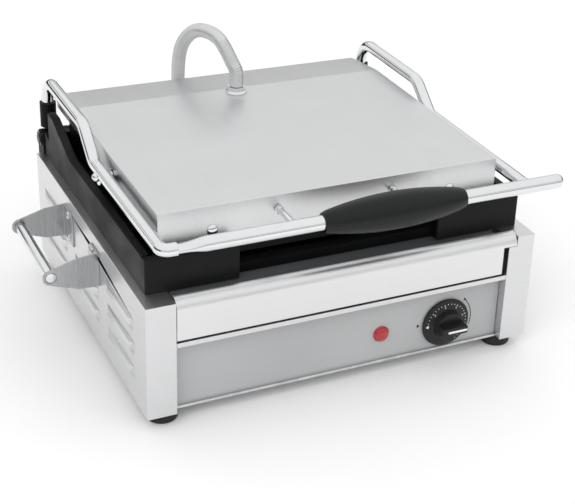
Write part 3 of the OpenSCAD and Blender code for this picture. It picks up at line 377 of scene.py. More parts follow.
def rounded(radius, along_from, along_to, round_off, steps=4):
    """A closed lathe outline of a disc or rod with rounded rims"""
    out = [(0, along_from)]
    for step in range(steps + 1):
        turn = math.pi / 2 * step / steps
        out.append((radius - round_off * (1 - math.sin(turn)), along_from + round_off * (1 - math.cos(turn))))
    for step in range(steps + 1):
        turn = math.pi / 2 * step / steps
        out.append((radius - round_off * (1 - math.cos(turn)), along_to - round_off * (1 - math.sin(turn))))
    return out + [(0, along_to)]


def ring_at(bm, place, heading, radius, sides):
    made = bmesh.ops.create_circle(bm, cap_ends=False, segments=sides, radius=radius,
                                   matrix=Matrix.Translation(place) @ turned_to(heading))
    return list({edge for vert in made["verts"] for edge in vert.link_edges})


def run_on(bm, ring, step, factor=1.0, centre=None):
    """Extrudes a ring of edges by a step, and scales it about the given centre"""
    made = bmesh.ops.extrude_edge_only(bm, edges=ring)["geom"]
    verts = [item for item in made if isinstance(item, bmesh.types.BMVert)]
    bmesh.ops.translate(bm, vec=step, verts=verts)
    if factor != 1.0:
        bmesh.ops.scale(bm, vec=(factor, factor, factor), verts=verts, space=Matrix.Translation(-Vector(centre)))
    return [item for item in made if isinstance(item, bmesh.types.BMEdge)]


def bent_tube(bm, points, radius, bends, sides=32, bend_steps=12, ends=0.0012):
    """A round rod along a list of points, with a spun bend of its own radius at each inner point"""
    points = [Vector(point) for point in points]
    heading = (points[1] - points[0]).normalized()
    ring = ring_at(bm, points[0], heading, radius - ends, sides)
    bmesh.ops.edgeloop_fill(bm, edges=ring)
    here = points[0] + heading * ends
    ring = run_on(bm, ring, heading * ends, radius / (radius - ends), here)
    for point, after, bend in zip(points[1:-1], points[2:], bends):
        out = (after - point).normalized()
        turn = heading.angle(out)
        trim = bend * math.tan(turn / 2)
        start = point - heading * trim
        ring = run_on(bm, ring, start - here)
        side = (out - heading * out.dot(heading)).normalized()
        made = bmesh.ops.spin(bm, geom=ring, cent=start + side * bend, axis=heading.cross(out).normalized(),
                              dvec=(0, 0, 0), angle=turn, space=Matrix(), steps=bend_steps, use_merge=False,
                              use_normal_flip=False, use_duplicate=False)
        ring = [item for item in made["geom_last"] if isinstance(item, bmesh.types.BMEdge)]
        here = point + out * trim
        heading = out
    ring = run_on(bm, ring, points[-1] - heading * ends - here)
    ring = run_on(bm, ring, heading * ends, (radius - ends) / radius, points[-1])
    bmesh.ops.edgeloop_fill(bm, edges=ring)


def dome(radius, height, steps=6):
    """A lathe outline of a dome on a flat base"""
    return [(0, 0)] + [(radius * math.cos(math.pi / 2 * step / steps), height * math.sin(math.pi / 2 * step / steps))
                       for step in range(steps)] + [(0, height)]


def keep_node(node):
    """A CAD node that stays as it is, with its procedural finish"""
    shown = frame["nodes"][node]
    shown.data.materials.clear()
    shown.data.materials.append(FINISH[SLOT_OF[node]])


# ---- Settings ------------------------------------------------------------------------------------

class GrillSizes(PropertyGroup):
    """Sizes of the details that the CAD frame leaves to the looks"""
    sheet_edge: FloatProperty(name="Sheet edge", description="Rounding of the folded sheet's edges",
                              default=0.45 * MM, min=0, subtype="DISTANCE", unit="LENGTH")
    iron_edge: FloatProperty(name="Iron edge", description="Rounding of the castings' edges",
                             default=1.6 * MM, min=0, subtype="DISTANCE", unit="LENGTH")
    arm_bends: FloatVectorProperty(name="Arm bends", description="Radius of each bend in an arm, from the back",
                                   default=(30 * MM, 28 * MM, 18 * MM), min=0, subtype="XYZ", unit="LENGTH")
    corner_bend: FloatProperty(name="Corner bend", description="Radius of the left arm's front corner",
                               default=8 * MM, min=0, subtype="DISTANCE", unit="LENGTH")
    rib_pitch: FloatProperty(name="Conduit rib pitch", description="Spacing of the conduit's ribs",
                             default=1.9 * MM, min=0, subtype="DISTANCE", unit="LENGTH")
    rib_depth: FloatProperty(name="Conduit rib depth", description="Depth of the conduit's grooves",
                             default=0.55 * MM, min=0, subtype="DISTANCE", unit="LENGTH")
    mark_height: FloatProperty(name="Mark height", description="Height of the numbers on the knob",
                               default=4.2 * MM, min=0, subtype="DISTANCE", unit="LENGTH")
    print_depth: FloatProperty(name="Print thickness", description="Thickness of the printed marks",
                               default=0.12 * MM, min=0, subtype="DISTANCE", unit="LENGTH")
    spring_turns: IntProperty(name="Spring turns", description="Turns in each counterbalance spring",
                              default=12, min=2)


class GrillTones(PropertyGroup):
    """Colours of the grill's finishes"""
    casing: FloatVectorProperty(name="Casing steel", description="Tone of the satin casing",
                                default=(0.72, 0.722, 0.73), subtype="COLOR", min=0, max=1)
    lid: FloatVectorProperty(name="Lid steel", description="Tone of the brushed lid",
                             default=(0.74, 0.745, 0.75), subtype="COLOR", min=0, max=1)
    bracket: FloatVectorProperty(name="Bracket steel", description="Tone of the carry brackets",
                                 default=(0.46, 0.465, 0.47), subtype="COLOR", min=0, max=1)
    tray: FloatVectorProperty(name="Tray steel", description="Tone of the drip tray's front",
                              default=(0.78, 0.782, 0.788), subtype="COLOR", min=0, max=1)
    panel: FloatVectorProperty(name="Panel grey", description="Paint of the control panel",
                               default=(0.43, 0.435, 0.44), subtype="COLOR", min=0, max=1)
    iron: FloatVectorProperty(name="Cast iron", description="Tone of the seasoned iron",
                              default=(0.003, 0.0032, 0.0035), subtype="COLOR", min=0, max=1)
    chrome: FloatVectorProperty(name="Chrome", description="Tone of the plated rods",
                                default=(0.80, 0.81, 0.82), subtype="COLOR", min=0, max=1)
    grip: FloatVectorProperty(name="Grip", description="Tone of the barrel grip",
                              default=(0.003, 0.004, 0.0045), subtype="COLOR", min=0, max=1)
    lamp: FloatVectorProperty(name="Pilot lamp", description="Tone of the pilot lamp's cap",
                              default=(0.36, 0.004, 0.012), subtype="COLOR", min=0, max=1)


# ---- Operators, one for each piece or group of like pieces ------------------------------------------

class GRILL_OT_finishes(Operator):
    """Makes the finishes that all pieces share"""
    bl_idname = "grill.finishes"
    bl_label = "Finishes"

    def execute(self, context):
        FINISH.update(make_finishes(context.scene.grill_tones))
        missing = set(SLOT_OF.values()) - set(FINISH)
        if missing:
            raise RuntimeError(f"no finish for {sorted(missing)}")
        return {"FINISHED"}


class GRILL_OT_casing(Operator):
    """Folded side panels with pressed louvres, back panel, base pan and control panel"""
    bl_idname = "grill.casing"
    bl_label = "Casing"

    def execute(self, context):
        edge = context.scene.grill_sizes.sheet_edge
        softened("side_panel_left", "left_side_sheet", edge)
        softened("side_panel_right", "right_side_sheet", edge)
        softened("back_panel", "back_sheet", edge)
        softened("base_pan", "base_sheet", edge)
        sheet = softened("control_panel", "control_sheet", edge)
        sheet.data.materials.append(FINISH["satin_steel"])
        top = high("control_panel").z
        for face in sheet.data.polygons:
            if face.center.z > top - 6.2 * MM:
                face.material_index = 1
        return {"FINISHED"}


class GRILL_OT_castings(Operator):
    """Cast-iron plates with their cooking ribs, and the hinge's castings"""
    bl_idname = "grill.castings"
    bl_label = "Castings"

    def execute(self, context):
        edge = context.scene.grill_sizes.iron_edge
        for node in ("lower_plate", "upper_plate"):
            bm = solid_of(node)
            outer = [item for item in bm.edges if len(item.link_faces) == 2
                     and item.calc_face_angle(0) > math.radians(40) and item.calc_length() > 4.5 * MM
                     and not self.in_ribs(item, node)]
            bmesh.ops.bevel(bm, geom=outer, offset=edge, offset_type="OFFSET", affect="EDGES", segments=3,
                            profile=0.5, material=-1, clamp_overlap=False, loop_slide=True)
            keep_inside(bm, node)
            finish_piece(bm, f"{node}_casting", [node])
        for node in ("hinge_block_left", "hinge_block_right", "knuckle_left", "knuckle_right"):
            softened(node, f"{node}_casting", 0.8 * MM, 2, 50, clamp=True)
        softened("grease_chute", "grease_chute_sheet", 0.35 * MM)
        return {"FINISHED"}

    @staticmethod
    def in_ribs(edge, node):
        """Whether an edge belongs to the cooking ribs or to something under the plate's skin"""
        mid = (edge.verts[0].co + edge.verts[1].co) / 2
        floor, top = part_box(node)
        if node == "lower_plate":
            cook = low("upper_plate").z - 6.5 * MM
            inside = abs(mid.x) < top.x - 11 * MM and floor.y + 14 * MM < mid.y < top.y - 10 * MM
            return mid.z < floor.z + 3 * MM or (inside and mid.z < cook + 1 * MM)
        return mid.z < floor.z + 4 * MM and abs(mid.x) < top.x - 1 * MM


class GRILL_OT_lid(Operator):
    """Sheet lid with its folded skirts, its dome screws and the conduit's gland"""
    bl_idname = "grill.lid"
    bl_label = "Lid"

    def execute(self, context):
        softened("lid_cover", "lid_sheet", 0.9 * MM, 4, angle=3)
        bm = bmesh.new()
        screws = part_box("cover_screws")
        front = low("lid_cover").y
        head_r = (screws[1].z - screws[0].z) / 2
        for x in (screws[0].x + head_r, screws[1].x - head_r):
            lathe(bm, dome(head_r, front - screws[0].y, 8), (x, front, middle("cover_screws").z), (0, -1, 0), 40)
            lathe(bm, rounded(2.4 * MM, 0, screws[1].y - front, 0.3 * MM), (x, front, middle("cover_screws").z),
                  (0, 1, 0), 20)
        finish_piece(bm, "lid_dome_screws", ["cover_screws"])
        softened("lid_gland", "lid_gland_turned", 0.4 * MM)
        return {"FINISHED"}


class GRILL_OT_arms(Operator):
    """Bent chrome arms with the eyes and dome bolts that the upper plate levels on"""
    bl_idname = "grill.arms"
    bl_label = "Arms"

    def execute(self, context):
        sizes = context.scene.grill_sizes
        rod = (high("arm_right").x - low("arm_right").x) / 2 - 0.03 * MM
        hinge = JOINT_AT["arm_hinge"]
        pivot = JOINT_AT["plate_level"]
        bar_z = middle("handle_bar").z
        top_z = high("arm_right").z - rod - 0.03 * MM
        front = middle("handle_bar").y
        end_z = low("arm_right").z
        lower_y = pivot.y + 26 * MM
        upper_y = lower_y + 37 * MM
        for side, node in ((-1, "arm_left"), (1, "arm_right")):
            x = middle("arm_right").x * side
            points = [(x, hinge.y, end_z), (x, hinge.y, top_z), (x, upper_y, top_z), (x, lower_y, bar_z),
                      (x, front, bar_z)]
            bm = bmesh.new()
            if side < 0:
                self.left(bm, points, rod, sizes)
            else:
                points[-1] = (x, front + 6.5 * MM, bar_z)
                bent_tube(bm, points, rod, sizes.arm_bends)
            lathe(bm, rounded(10 * MM, -5 * MM, 5 * MM, 1.2 * MM), (x, pivot.y, pivot.z), (1, 0, 0), 40)
            finish_piece(bm, f"{node}_rod", [node], weighted=False)
        bm = bmesh.new()
        outer = high("pivot_bolts").x
        face = middle("arm_right").x + rod
        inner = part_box("upper_plate")[1].x - 14 * MM
        for side in (-1, 1):
            lathe(bm, rounded(4 * MM, inner, face - 1 * MM, 0.4 * MM), (0, pivot.y, pivot.z), (side, 0, 0), 24)
            lathe(bm, dome(5.5 * MM, outer - face + 2 * MM, 8), (side * (face - 2 * MM), pivot.y, pivot.z),
                  (side, 0, 0), 32)
        finish_piece(bm, "pivot_dome_bolts", ["pivot_bolts"])
        return {"FINISHED"}

    @staticmethod
    def left(bm, points, rod, sizes):
        """The left arm: the bends at the back, then the tight corner where it turns along the bar"""
        corner = Vector(points[-1])
        start = corner + Vector((0, sizes.corner_bend, 0))
        bent_tube(bm, points[:-1] + [start], rod, sizes.arm_bends, ends=0.01 * MM)
        end_x = high("arm_left").x
        bent_tube(bm, [start, corner, (end_x, corner.y, corner.z)], rod, [sizes.corner_bend], ends=0.01 * MM)


class GRILL_OT_handle(Operator):
    """Front bar with its pressed end, the barrel grip and the two pegs towards the lid"""
    bl_idname = "grill.handle"
    bl_label = "Front handle"

    def execute(self, context):
        self.bar()
        self.grip()
        self.pegs()
        return {"FINISHED"}

    @staticmethod
    def bar():
        start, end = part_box("handle_bar")
        centre = middle("handle_bar")
        radius = (end.z - start.z) / 2
        bm = bmesh.new()
        ring = ring_at(bm, Vector((start.x, centre.y, centre.z)), Vector((1, 0, 0)), radius, 36)
        verts = list({vert for edge in ring for vert in edge.verts})
        bmesh.ops.scale(bm, vec=(1, 1, 0.5), verts=verts, space=Matrix.Translation(-centre))
        bmesh.ops.edgeloop_fill(bm, edges=ring)
        for step, stretch in ((6, 1.0), (6, 1.12), (6, 1.25), (6, 1.25), (5, 1.1428)):
            ring = run_on(bm, ring, (step * MM, 0, 0))
            verts = list({vert for edge in ring for vert in edge.verts})
            bmesh.ops.scale(bm, vec=(1, 1, stretch), verts=verts, space=Matrix.Translation(-centre))
        reached = start.x + 29 * MM
        ring = run_on(bm, ring, (end.x - radius - reached, 0, 0))
        steps = 8
        for step in range(1, steps):
            before = math.pi / 2 * (step - 1) / steps
            turn = math.pi / 2 * step / steps
            along = radius * (math.sin(turn) - math.sin(before))
            ring = run_on(bm, ring, (along, 0, 0), math.cos(turn) / math.cos(before), centre)
            verts = list({vert for edge in ring for vert in edge.verts})
            shift = end.x - radius + radius * math.sin(turn) - verts[0].co.x
            bmesh.ops.translate(bm, vec=(shift, 0, 0), verts=verts)
        bmesh.ops.edgeloop_fill(bm, edges=ring)
        finish_piece(bm, "front_bar", ["handle_bar"], weighted=False)

    @staticmethod
    def grip():
        start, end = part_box("handle_grip")
        centre = middle("handle_grip")
        half = (end.x - start.x) / 2
        radius = (end.z - start.z) / 2
        end_radius = 11 * MM
        bore = 8.1 * MM
        sag = radius - end_radius
        arc = (half * half + sag * sag) / (2 * sag)
        steps = 28
        outline = [(bore, -half + 1.5 * MM), (bore, -half), (end_radius - 2 * MM, -half),
                   (end_radius - 0.7 * MM, -half + 0.5 * MM)]
        for step in range(1, steps):
            along = -half + 2 * half * step / steps
            outline.append((radius - arc + math.sqrt(arc * arc - along * along), along))
        outline += [(end_radius - 0.7 * MM, half - 0.5 * MM), (end_radius - 2 * MM, half), (bore, half),
                    (bore, half - 1.5 * MM)]
        bm = bmesh.new()
        lathe(bm, outline, centre, (1, 0, 0), 64)
        bmesh.ops.holes_fill(bm, edges=bm.edges, sides=70)
        finish_piece(bm, "barrel_grip", ["handle_grip"], weighted=False)

    @staticmethod
    def pegs():
        start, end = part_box("stop_pegs")
        centre = middle("stop_pegs")
        length = end.y - start.y
        sleeve = 4.2 * MM
        bm = bmesh.new()
        for x in (start.x + sleeve, end.x - sleeve):
            lathe(bm, [(0, 0), (3.5 * MM, 0), (3.5 * MM, length - 6 * MM), (sleeve, length - 5.6 * MM),
                       (sleeve, length - 0.6 * MM), (sleeve - 0.6 * MM, length), (0, length)],
                  (x, start.y, centre.z), (0, 1, 0), 32)
        finish_piece(bm, "bar_pegs", ["stop_pegs"])


class GRILL_OT_hinge(Operator):
    """Hinge shaft with its rings, and the two counterbalance springs as real helices"""
    bl_idname = "grill.hinge"
    bl_label = "Hinge"

    def execute(self, context):
        turns = context.scene.grill_sizes.spring_turns
        steps = 28
        for node, side in (("spring_left", -1), ("spring_right", 1)):
            start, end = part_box(node)
            centre = middle(node)
            wire = 2 * MM
            mean = (end.z - start.z) / 2 - wire
            pitch = (end.x - start.x - 2 * wire) / turns
            bm = bmesh.new()
            first = Vector((start.x + wire, centre.y, centre.z + mean))
            ring = ring_at(bm, first, Vector((0, 1, 0)), wire - 0.05 * MM, 10)
            bmesh.ops.edgeloop_fill(bm, edges=ring)
            made = bmesh.ops.spin(bm, geom=ring, cent=(start.x + wire, centre.y, centre.z), axis=(-1, 0, 0),
                                  dvec=(pitch / steps, 0, 0), angle=2 * math.pi * turns, space=Matrix(),
                                  steps=steps * turns, use_merge=False, use_normal_flip=False,
                                  use_duplicate=False)
            last = [item for item in made["geom_last"] if isinstance(item, bmesh.types.BMEdge)]
            bmesh.ops.edgeloop_fill(bm, edges=last)
            finish_piece(bm, f"{node}_coil", [node], weighted=False)
        softened("hinge_shaft", "hinge_shaft_turned", 0.4 * MM)
        softened("shaft_rings", "shaft_ring_clips", 0.15 * MM)
        return {"FINISHED"}


class GRILL_OT_conduit(Operator):
    """Ribbed flexible conduit from its elbow up and over into the lid"""
    bl_idname = "grill.conduit"
    bl_label = "Conduit"

    def execute(self, context):
        sizes = context.scene.grill_sizes
        path = self.route()
        steps = self.evenly(path, sizes.rib_pitch / 4)
        apex = max(range(len(steps)), key=lambda index: steps[index].z)
        lower = steps[:apex + 1]
        upper = steps[apex:]
        first = self.ribbed("conduit_rise", lower, 0, sizes, ["conduit"], True)
        second = self.ribbed("conduit_fall", upper, apex, sizes, ["conduit"], False)
        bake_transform(first)
        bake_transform(second)
        softened("conduit_elbow", "conduit_elbow_turned", 0.3 * MM, 2, 50)
        return {"FINISHED"}

    @staticmethod
    def route():
        """The conduit's centre line: up from the elbow, over the lid's rear edge and down to its gland"""
        elbow = high("conduit_elbow")
        x = middle("conduit_elbow").x
        y = elbow.y - 11 * MM
        _, back, top = high("side_panel_left")
        gland = middle("lid_gland")
        lid_top = high("lid_cover").z
        return [Vector(point) for point in (
            (x, y, elbow.z), (x, y, elbow.z + 40 * MM), (x, y, top + 0.079), (-0.033, back + 0.016, top + 0.113),
            (-0.024, back - 0.010, top + 0.135), (-0.012, back - 0.044, top + 0.135),
            (-0.003, back - 0.068, top + 0.111),
            (0, gland.y, lid_top + 0.024), (0, gland.y, lid_top + 0.0086))]

    @staticmethod
    def evenly(points, spacing):
        """A smooth curve through the points, cut into equal steps"""
        fine = []
        divisions = 400
        last = len(points) - 1
        for index in range(last):
            a, b, c, d = (points[max(index - 1, 0)], points[index], points[index + 1],
                          points[min(index + 2, last)])
            for part in range(divisions):
                t = part / divisions
                fine.append(0.5 * (2 * b + (c - a) * t + (2 * a - 5 * b + 4 * c - d) * t * t
                                   + (3 * b - a - 3 * c + d) * t * t * t))
        fine.append(points[last])
        out = [fine[0]]
        for point in fine:
            if (point - out[-1]).length >= spacing:
                out.append(point)
        return out

    @staticmethod
    def ribbed(name, steps, phase, sizes, nodes, replace):
        radius = (high("conduit_elbow").x - low("conduit_elbow").x) / 2 - 2.5 * MM
        factors = (1.0, 1.0 - 0.35 * sizes.rib_depth / radius, 1.0 - sizes.rib_depth / radius,
                   1.0 - 0.35 * sizes.rib_depth / radius)
        bm = bmesh.new()
        heading = (steps[1] - steps[0]).normalized()
        ring = ring_at(bm, steps[0], heading, radius * factors[phase % 4], 24)
        bmesh.ops.edgeloop_fill(bm, edges=ring)
        for index in range(1, len(steps)):
            ahead = (steps[min(index + 1, len(steps) - 1)] - steps[index - 1]).normalized()
            scale = factors[(phase + index) % 4] / factors[(phase + index - 1) % 4]
            ring = run_on(bm, ring, steps[index] - steps[index - 1], scale, steps[index])
            verts = list({vert for edge in ring for vert in edge.verts})
            turn = heading.rotation_difference(ahead).to_matrix()
            bmesh.ops.rotate(bm, cent=steps[index], matrix=turn, verts=verts)
            heading = ahead
        bmesh.ops.edgeloop_fill(bm, edges=ring)
        return finish_piece(bm, name, nodes, "blend", "conduit_steel", angle=60, weighted=False, replace=replace)


class GRILL_OT_knob(Operator):
    """Thermostat knob with its skirt, finger bar, white insert, ticks and numbers"""
    bl_idname = "grill.knob"
    bl_label = "Knob"

    def execute(self, context):
        sizes = context.scene.grill_sizes
        start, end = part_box("knob")
        centre = middle("knob")
        skirt = (end.z - start.z) / 2
        out = end.y - start.y
        hub = 17 * MM
        back = end.y
        bm = bmesh.new()
        lathe(bm, [(0, 0), (skirt - 0.6 * MM, 0), (skirt, 0.6 * MM), (skirt, 1.8 * MM), (skirt - 0.5 * MM, 2.6 * MM),
                   (skirt - 2 * MM, 3.5 * MM), (hub + 1.6 * MM, 4.8 * MM), (hub + 0.6 * MM, 5.4 * MM),
                   (hub - 0.6 * MM, 11.4 * MM), (hub - 1.4 * MM, 12.6 * MM), (hub - 3 * MM, 13 * MM),
                   (0, 13 * MM)], (centre.x, back, centre.z), (0, -1, 0), 72)
        finish_piece(bm, "knob_skirt", ["knob"])
        bm = bmesh.new()
        block(bm, (centre.x - hub + 1 * MM, back - out, centre.z - 5.5 * MM),
              (centre.x + hub - 1 * MM, back - 6 * MM, centre.z + 5.5 * MM))
        for vert in bm.verts:
            if vert.co.y < back - out + 1 * MM:
                vert.co.z = centre.z + (vert.co.z - centre.z) * 0.8
        soften(bm, 1.3 * MM, 4)
        finish_piece(bm, "knob_finger_bar", ["knob"], replace=False)
        bm = bmesh.new()
        low_x, high_x = low("knob_insert").x, high("knob_insert").x
        block(bm, (low_x, back - out - 0.05 * MM, centre.z - 1.5 * MM),
              (high_x, back - out + 1.5 * MM, centre.z + 1.5 * MM))
        soften(bm, 0.3 * MM, 2)
        finish_piece(bm, "knob_pointer_insert", ["knob_insert"])
        self.marks(sizes, centre, back, skirt, hub)
        return {"FINISHED"}

    @staticmethod
    def marks(sizes, centre, back, skirt, hub):
        """White ticks and numbers printed around the skirt, and a pointer at its left"""
        bm = bmesh.new()
        face = back - 4.2 * MM
        tick_r = skirt - 4.4 * MM
        for step in range(25):
            turn = math.radians(-60 + step * 10)
            length = 2.2 * MM if step % 4 == 0 else 1.2 * MM
            verts = block(bm, (tick_r - length, -sizes.print_depth, -0.25 * MM), (tick_r, 0.4 * MM, 0.25 * MM))
            place = Matrix.Translation((centre.x, face, centre.z)) @ Matrix.Rotation(-turn, 4, "Y")
            bmesh.ops.transform(bm, matrix=place, verts=verts)
        for step, text in enumerate(("0", "1", "2", "3", "4", "5")):
            turn = math.radians(-60 + step * 40)
            radius = tick_r - 4.2 * MM
            spot = (centre.x + radius * math.cos(turn), face - 0.3 * MM, centre.z + radius * math.sin(turn))
            add_number(bm, text, sizes.mark_height * 0.8, spot, sizes.print_depth)
        pointer = bmesh.ops.create_circle(bm, cap_ends=True, segments=3, radius=2.4 * MM)["verts"]
        place = (Matrix.Translation((centre.x - skirt + 4.6 * MM, face - 0.25 * MM, centre.z))
                 @ Matrix.Rotation(math.pi / 2, 4, "X") @ Matrix.Rotation(math.pi / 2, 4, "Z"))
        bmesh.ops.transform(bm, matrix=place, verts=pointer)
        bmesh.ops.solidify(bm, geom=[face for face in pointer[0].link_faces], thickness=0.3 * MM)
        place_piece(bm, "knob_marks", ["knob"], slot="white_plastic", weighted=False, replace=False)


def add_number(bm, text, height, centre, depth):
    """A number of the given height, facing the front, joined into a bmesh"""
    curve = bpy.data.curves.new("number", "FONT")
    curve.body = text
    curve.size = height
    curve.align_x = "CENTER"
    curve.align_y = "CENTER"
    curve.extrude = depth
    curve.resolution_u = 3
    holder = bpy.data.objects.new("number", curve)
    bpy.context.scene.collection.objects.link(holder)
    bpy.context.view_layer.update()
    mesh = bpy.data.meshes.new_from_object(holder.evaluated_get(bpy.context.evaluated_depsgraph_get()))
    before = set(bm.verts)
    bm.from_mesh(mesh)
    fresh = [vert for vert in bm.verts if vert not in before]
    place = Matrix.Translation(centre) @ Matrix.Rotation(math.pi / 2, 4, "X")
    bmesh.ops.transform(bm, matrix=place, verts=fresh)
    bpy.data.objects.remove(holder)
    bpy.data.curves.remove(curve)
    bpy.data.meshes.remove(mesh)


class GRILL_OT_panel_marks(Operator):
    """Printed arrow and turning arc beside the knob, and the pilot lamp's cap"""
    bl_idname = "grill.panel_marks"
    bl_label = "Panel marks and lamp"

    def execute(self, context):
        depth = context.scene.grill_sizes.print_depth
        knob = middle("knob")
        radius = (high("knob").z - low("knob").z) / 2
        face = high("pilot_lamp_lens").y
        bm = bmesh.new()
        arrow = bmesh.ops.create_cone(bm, cap_ends=True, cap_tris=False, segments=3, radius1=2.6 * MM,
                                      radius2=2.6 * MM, depth=depth)["verts"]
        place = (Matrix.Translation((knob.x - radius - 5 * MM, face - depth / 2, knob.z + 1 * MM))
                 @ Matrix.Rotation(math.pi / 2, 4, "X") @ Matrix.Rotation(-math.pi / 2, 4, "Z"))
        bmesh.ops.transform(bm, matrix=place, verts=arrow)
        arc_r = radius + 4.5 * MM
        ring = block(bm, (arc_r - 0.5 * MM, -depth, -0.1 * MM), (arc_r + 0.5 * MM, 0, 0.1 * MM))
        top = max({item for vert in ring for item in vert.link_faces}, key=lambda item: item.calc_center_median().z)
        bmesh.ops.spin(bm, geom=[top], cent=(0, 0, 0), axis=(0, -1, 0), dvec=(0, 0, 0),
                                angle=math.radians(62), space=Matrix(), steps=24, use_merge=False,
                                use_normal_flip=False, use_duplicate=False)
        arc = [vert for vert in bm.verts if vert not in set(arrow)]
        place = Matrix.Translation((knob.x, face, knob.z)) @ Matrix.Rotation(math.radians(18), 4, "Y")
        bmesh.ops.transform(bm, matrix=place, verts=arc)
        tip = bmesh.ops.create_cone(bm, cap_ends=True, cap_tris=False, segments=3, radius1=2.2 * MM,
                                    radius2=2.2 * MM, depth=depth)["verts"]
        turn = math.radians(44)
        place = (Matrix.Translation((knob.x + arc_r * math.cos(turn), face - depth / 2,
                                     knob.z + arc_r * math.sin(turn)))
                 @ Matrix.Rotation(math.pi / 2, 4, "X") @ Matrix.Rotation(turn + math.pi / 2, 4, "Z"))
        bmesh.ops.transform(bm, matrix=place, verts=tip)
        finish_piece(bm, "panel_print", ["control_panel"], slot="black_plastic", weighted=False, replace=False)
        start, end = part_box("pilot_lamp_lens")
        lamp_r = (end.z - start.z) / 2
        centre = middle("pilot_lamp_lens")
        outline = [(0, 0), (lamp_r, 0), (lamp_r, 1.2 * MM), (lamp_r - 0.8 * MM, 2 * MM)]
        outline += [((lamp_r - 1 * MM) * math.cos(math.radians(a)), 2.0 * MM + 4 * MM * math.sin(math.radians(a)))
                    for a in range(8, 90, 8)]
        bm = bmesh.new()
        lathe(bm, outline + [(0, 6 * MM)], (centre.x, end.y, centre.z), (0, -1, 0), 48)
        finish_piece(bm, "pilot_lamp_cap", ["pilot_lamp_lens"], weighted=False)
        return {"FINISHED"}


class GRILL_OT_tray(Operator):
    """Drip tray behind its rolled front"""
    bl_idname = "grill.tray"
    bl_label = "Drip tray"

    def execute(self, context):
        softened("drip_tray", "drip_tray_sheet", 0.35 * MM)
        return {"FINISHED"}


class GRILL_OT_carry_handles(Operator):
    """Carry handles: folded brackets, chrome rods and dome screws"""
    bl_idname = "grill.carry_handles"
    bl_label = "Carry handles"

    def execute(self, context):
        for side in ("left", "right"):
            for place in ("front", "rear"):
                softened(f"{side}_bracket_{place}", f"{side}_{place}_bracket_plate", 0.5 * MM, 2)
            start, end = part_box(f"{side}_carry_rod")
            centre = middle(f"{side}_carry_rod")
            bm = bmesh.new()
            lathe(bm, rounded((end.z - start.z) / 2, 0, end.y - start.y, 1.4 * MM, 5),
                  (centre.x, start.y, centre.z), (0, 1, 0), 40)
            finish_piece(bm, f"{side}_rod_turned", [f"{side}_carry_rod"], weighted=False)
        bm = bmesh.new()
        start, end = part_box("bracket_screws")
        head_r = 4.5 * MM
        for side in (-1, 1):
            for y in (start.y + head_r, end.y - head_r):
                for z in (start.z + head_r, end.z - head_r):
                    lathe(bm, dome(head_r, 3 * MM, 7), (side * (end.x - 3 * MM), y, z), (side, 0, 0), 28)
                    lathe(bm, rounded(2.5 * MM, 0, 9 * MM, 0.4 * MM), (side * (end.x - 3 * MM), y, z),
                          (-side, 0, 0), 20)
        finish_piece(bm, "bracket_dome_screws", ["bracket_screws"])
        return {"FINISHED"}


class GRILL_OT_feet(Operator):
    """Rubber feet with a recess for their screws"""
    bl_idname = "grill.feet"
    bl_label = "Feet"

    def execute(self, context):
        start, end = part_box("rubber_feet")
        radius = 16.5 * MM
        height = end.z - start.z
        outline = [(2.8 * MM, height), (2.8 * MM, 5 * MM), (6 * MM, 5 * MM), (6 * MM, 0), (radius - 2 * MM, 0),
                   (radius - 0.6 * MM, 0.6 * MM), (radius, 2 * MM), (radius, height - 3 * MM),
                   (radius - 0.4 * MM, height - 1.6 * MM), (radius - 1.4 * MM, height), (2.8 * MM, height)]
        bm = bmesh.new()
        for x in (start.x + radius, end.x - radius):
            for y in (start.y + radius, end.y - radius):
                lathe(bm, outline, (x, y, start.z), (0, 0, 1), 48)
        finish_piece(bm, "turned_feet", ["rubber_feet"])
        return {"FINISHED"}


class GRILL_OT_inner_works(Operator):
    """Finishes of the nodes that keep their CAD shape: heating, controls, wiring points and fasteners"""
    bl_idname = "grill.inner_works"
    bl_label = "Inner works"

    def execute(self, context):
        for node in ("lower_element", "lower_insulation", "heat_shield", "plate_bolts", "tray_runners",
                     "thermostat_body", "thermostat_bulb", "thermostat_shaft", "pilot_lamp_body",
                     "terminal_block", "foot_screws", "upper_element", "upper_insulation"):
            keep_node(node)
        softened("cable_gland", "cable_gland_moulded", 0.4 * MM, 2, 50)
        softened("hinge_bolts", "hinge_bolt_heads", 0.4 * MM, 2, 50)
        softened("back_screws", "back_screw_heads", 0.4 * MM, 2, 50)
        return {"FINISHED"}


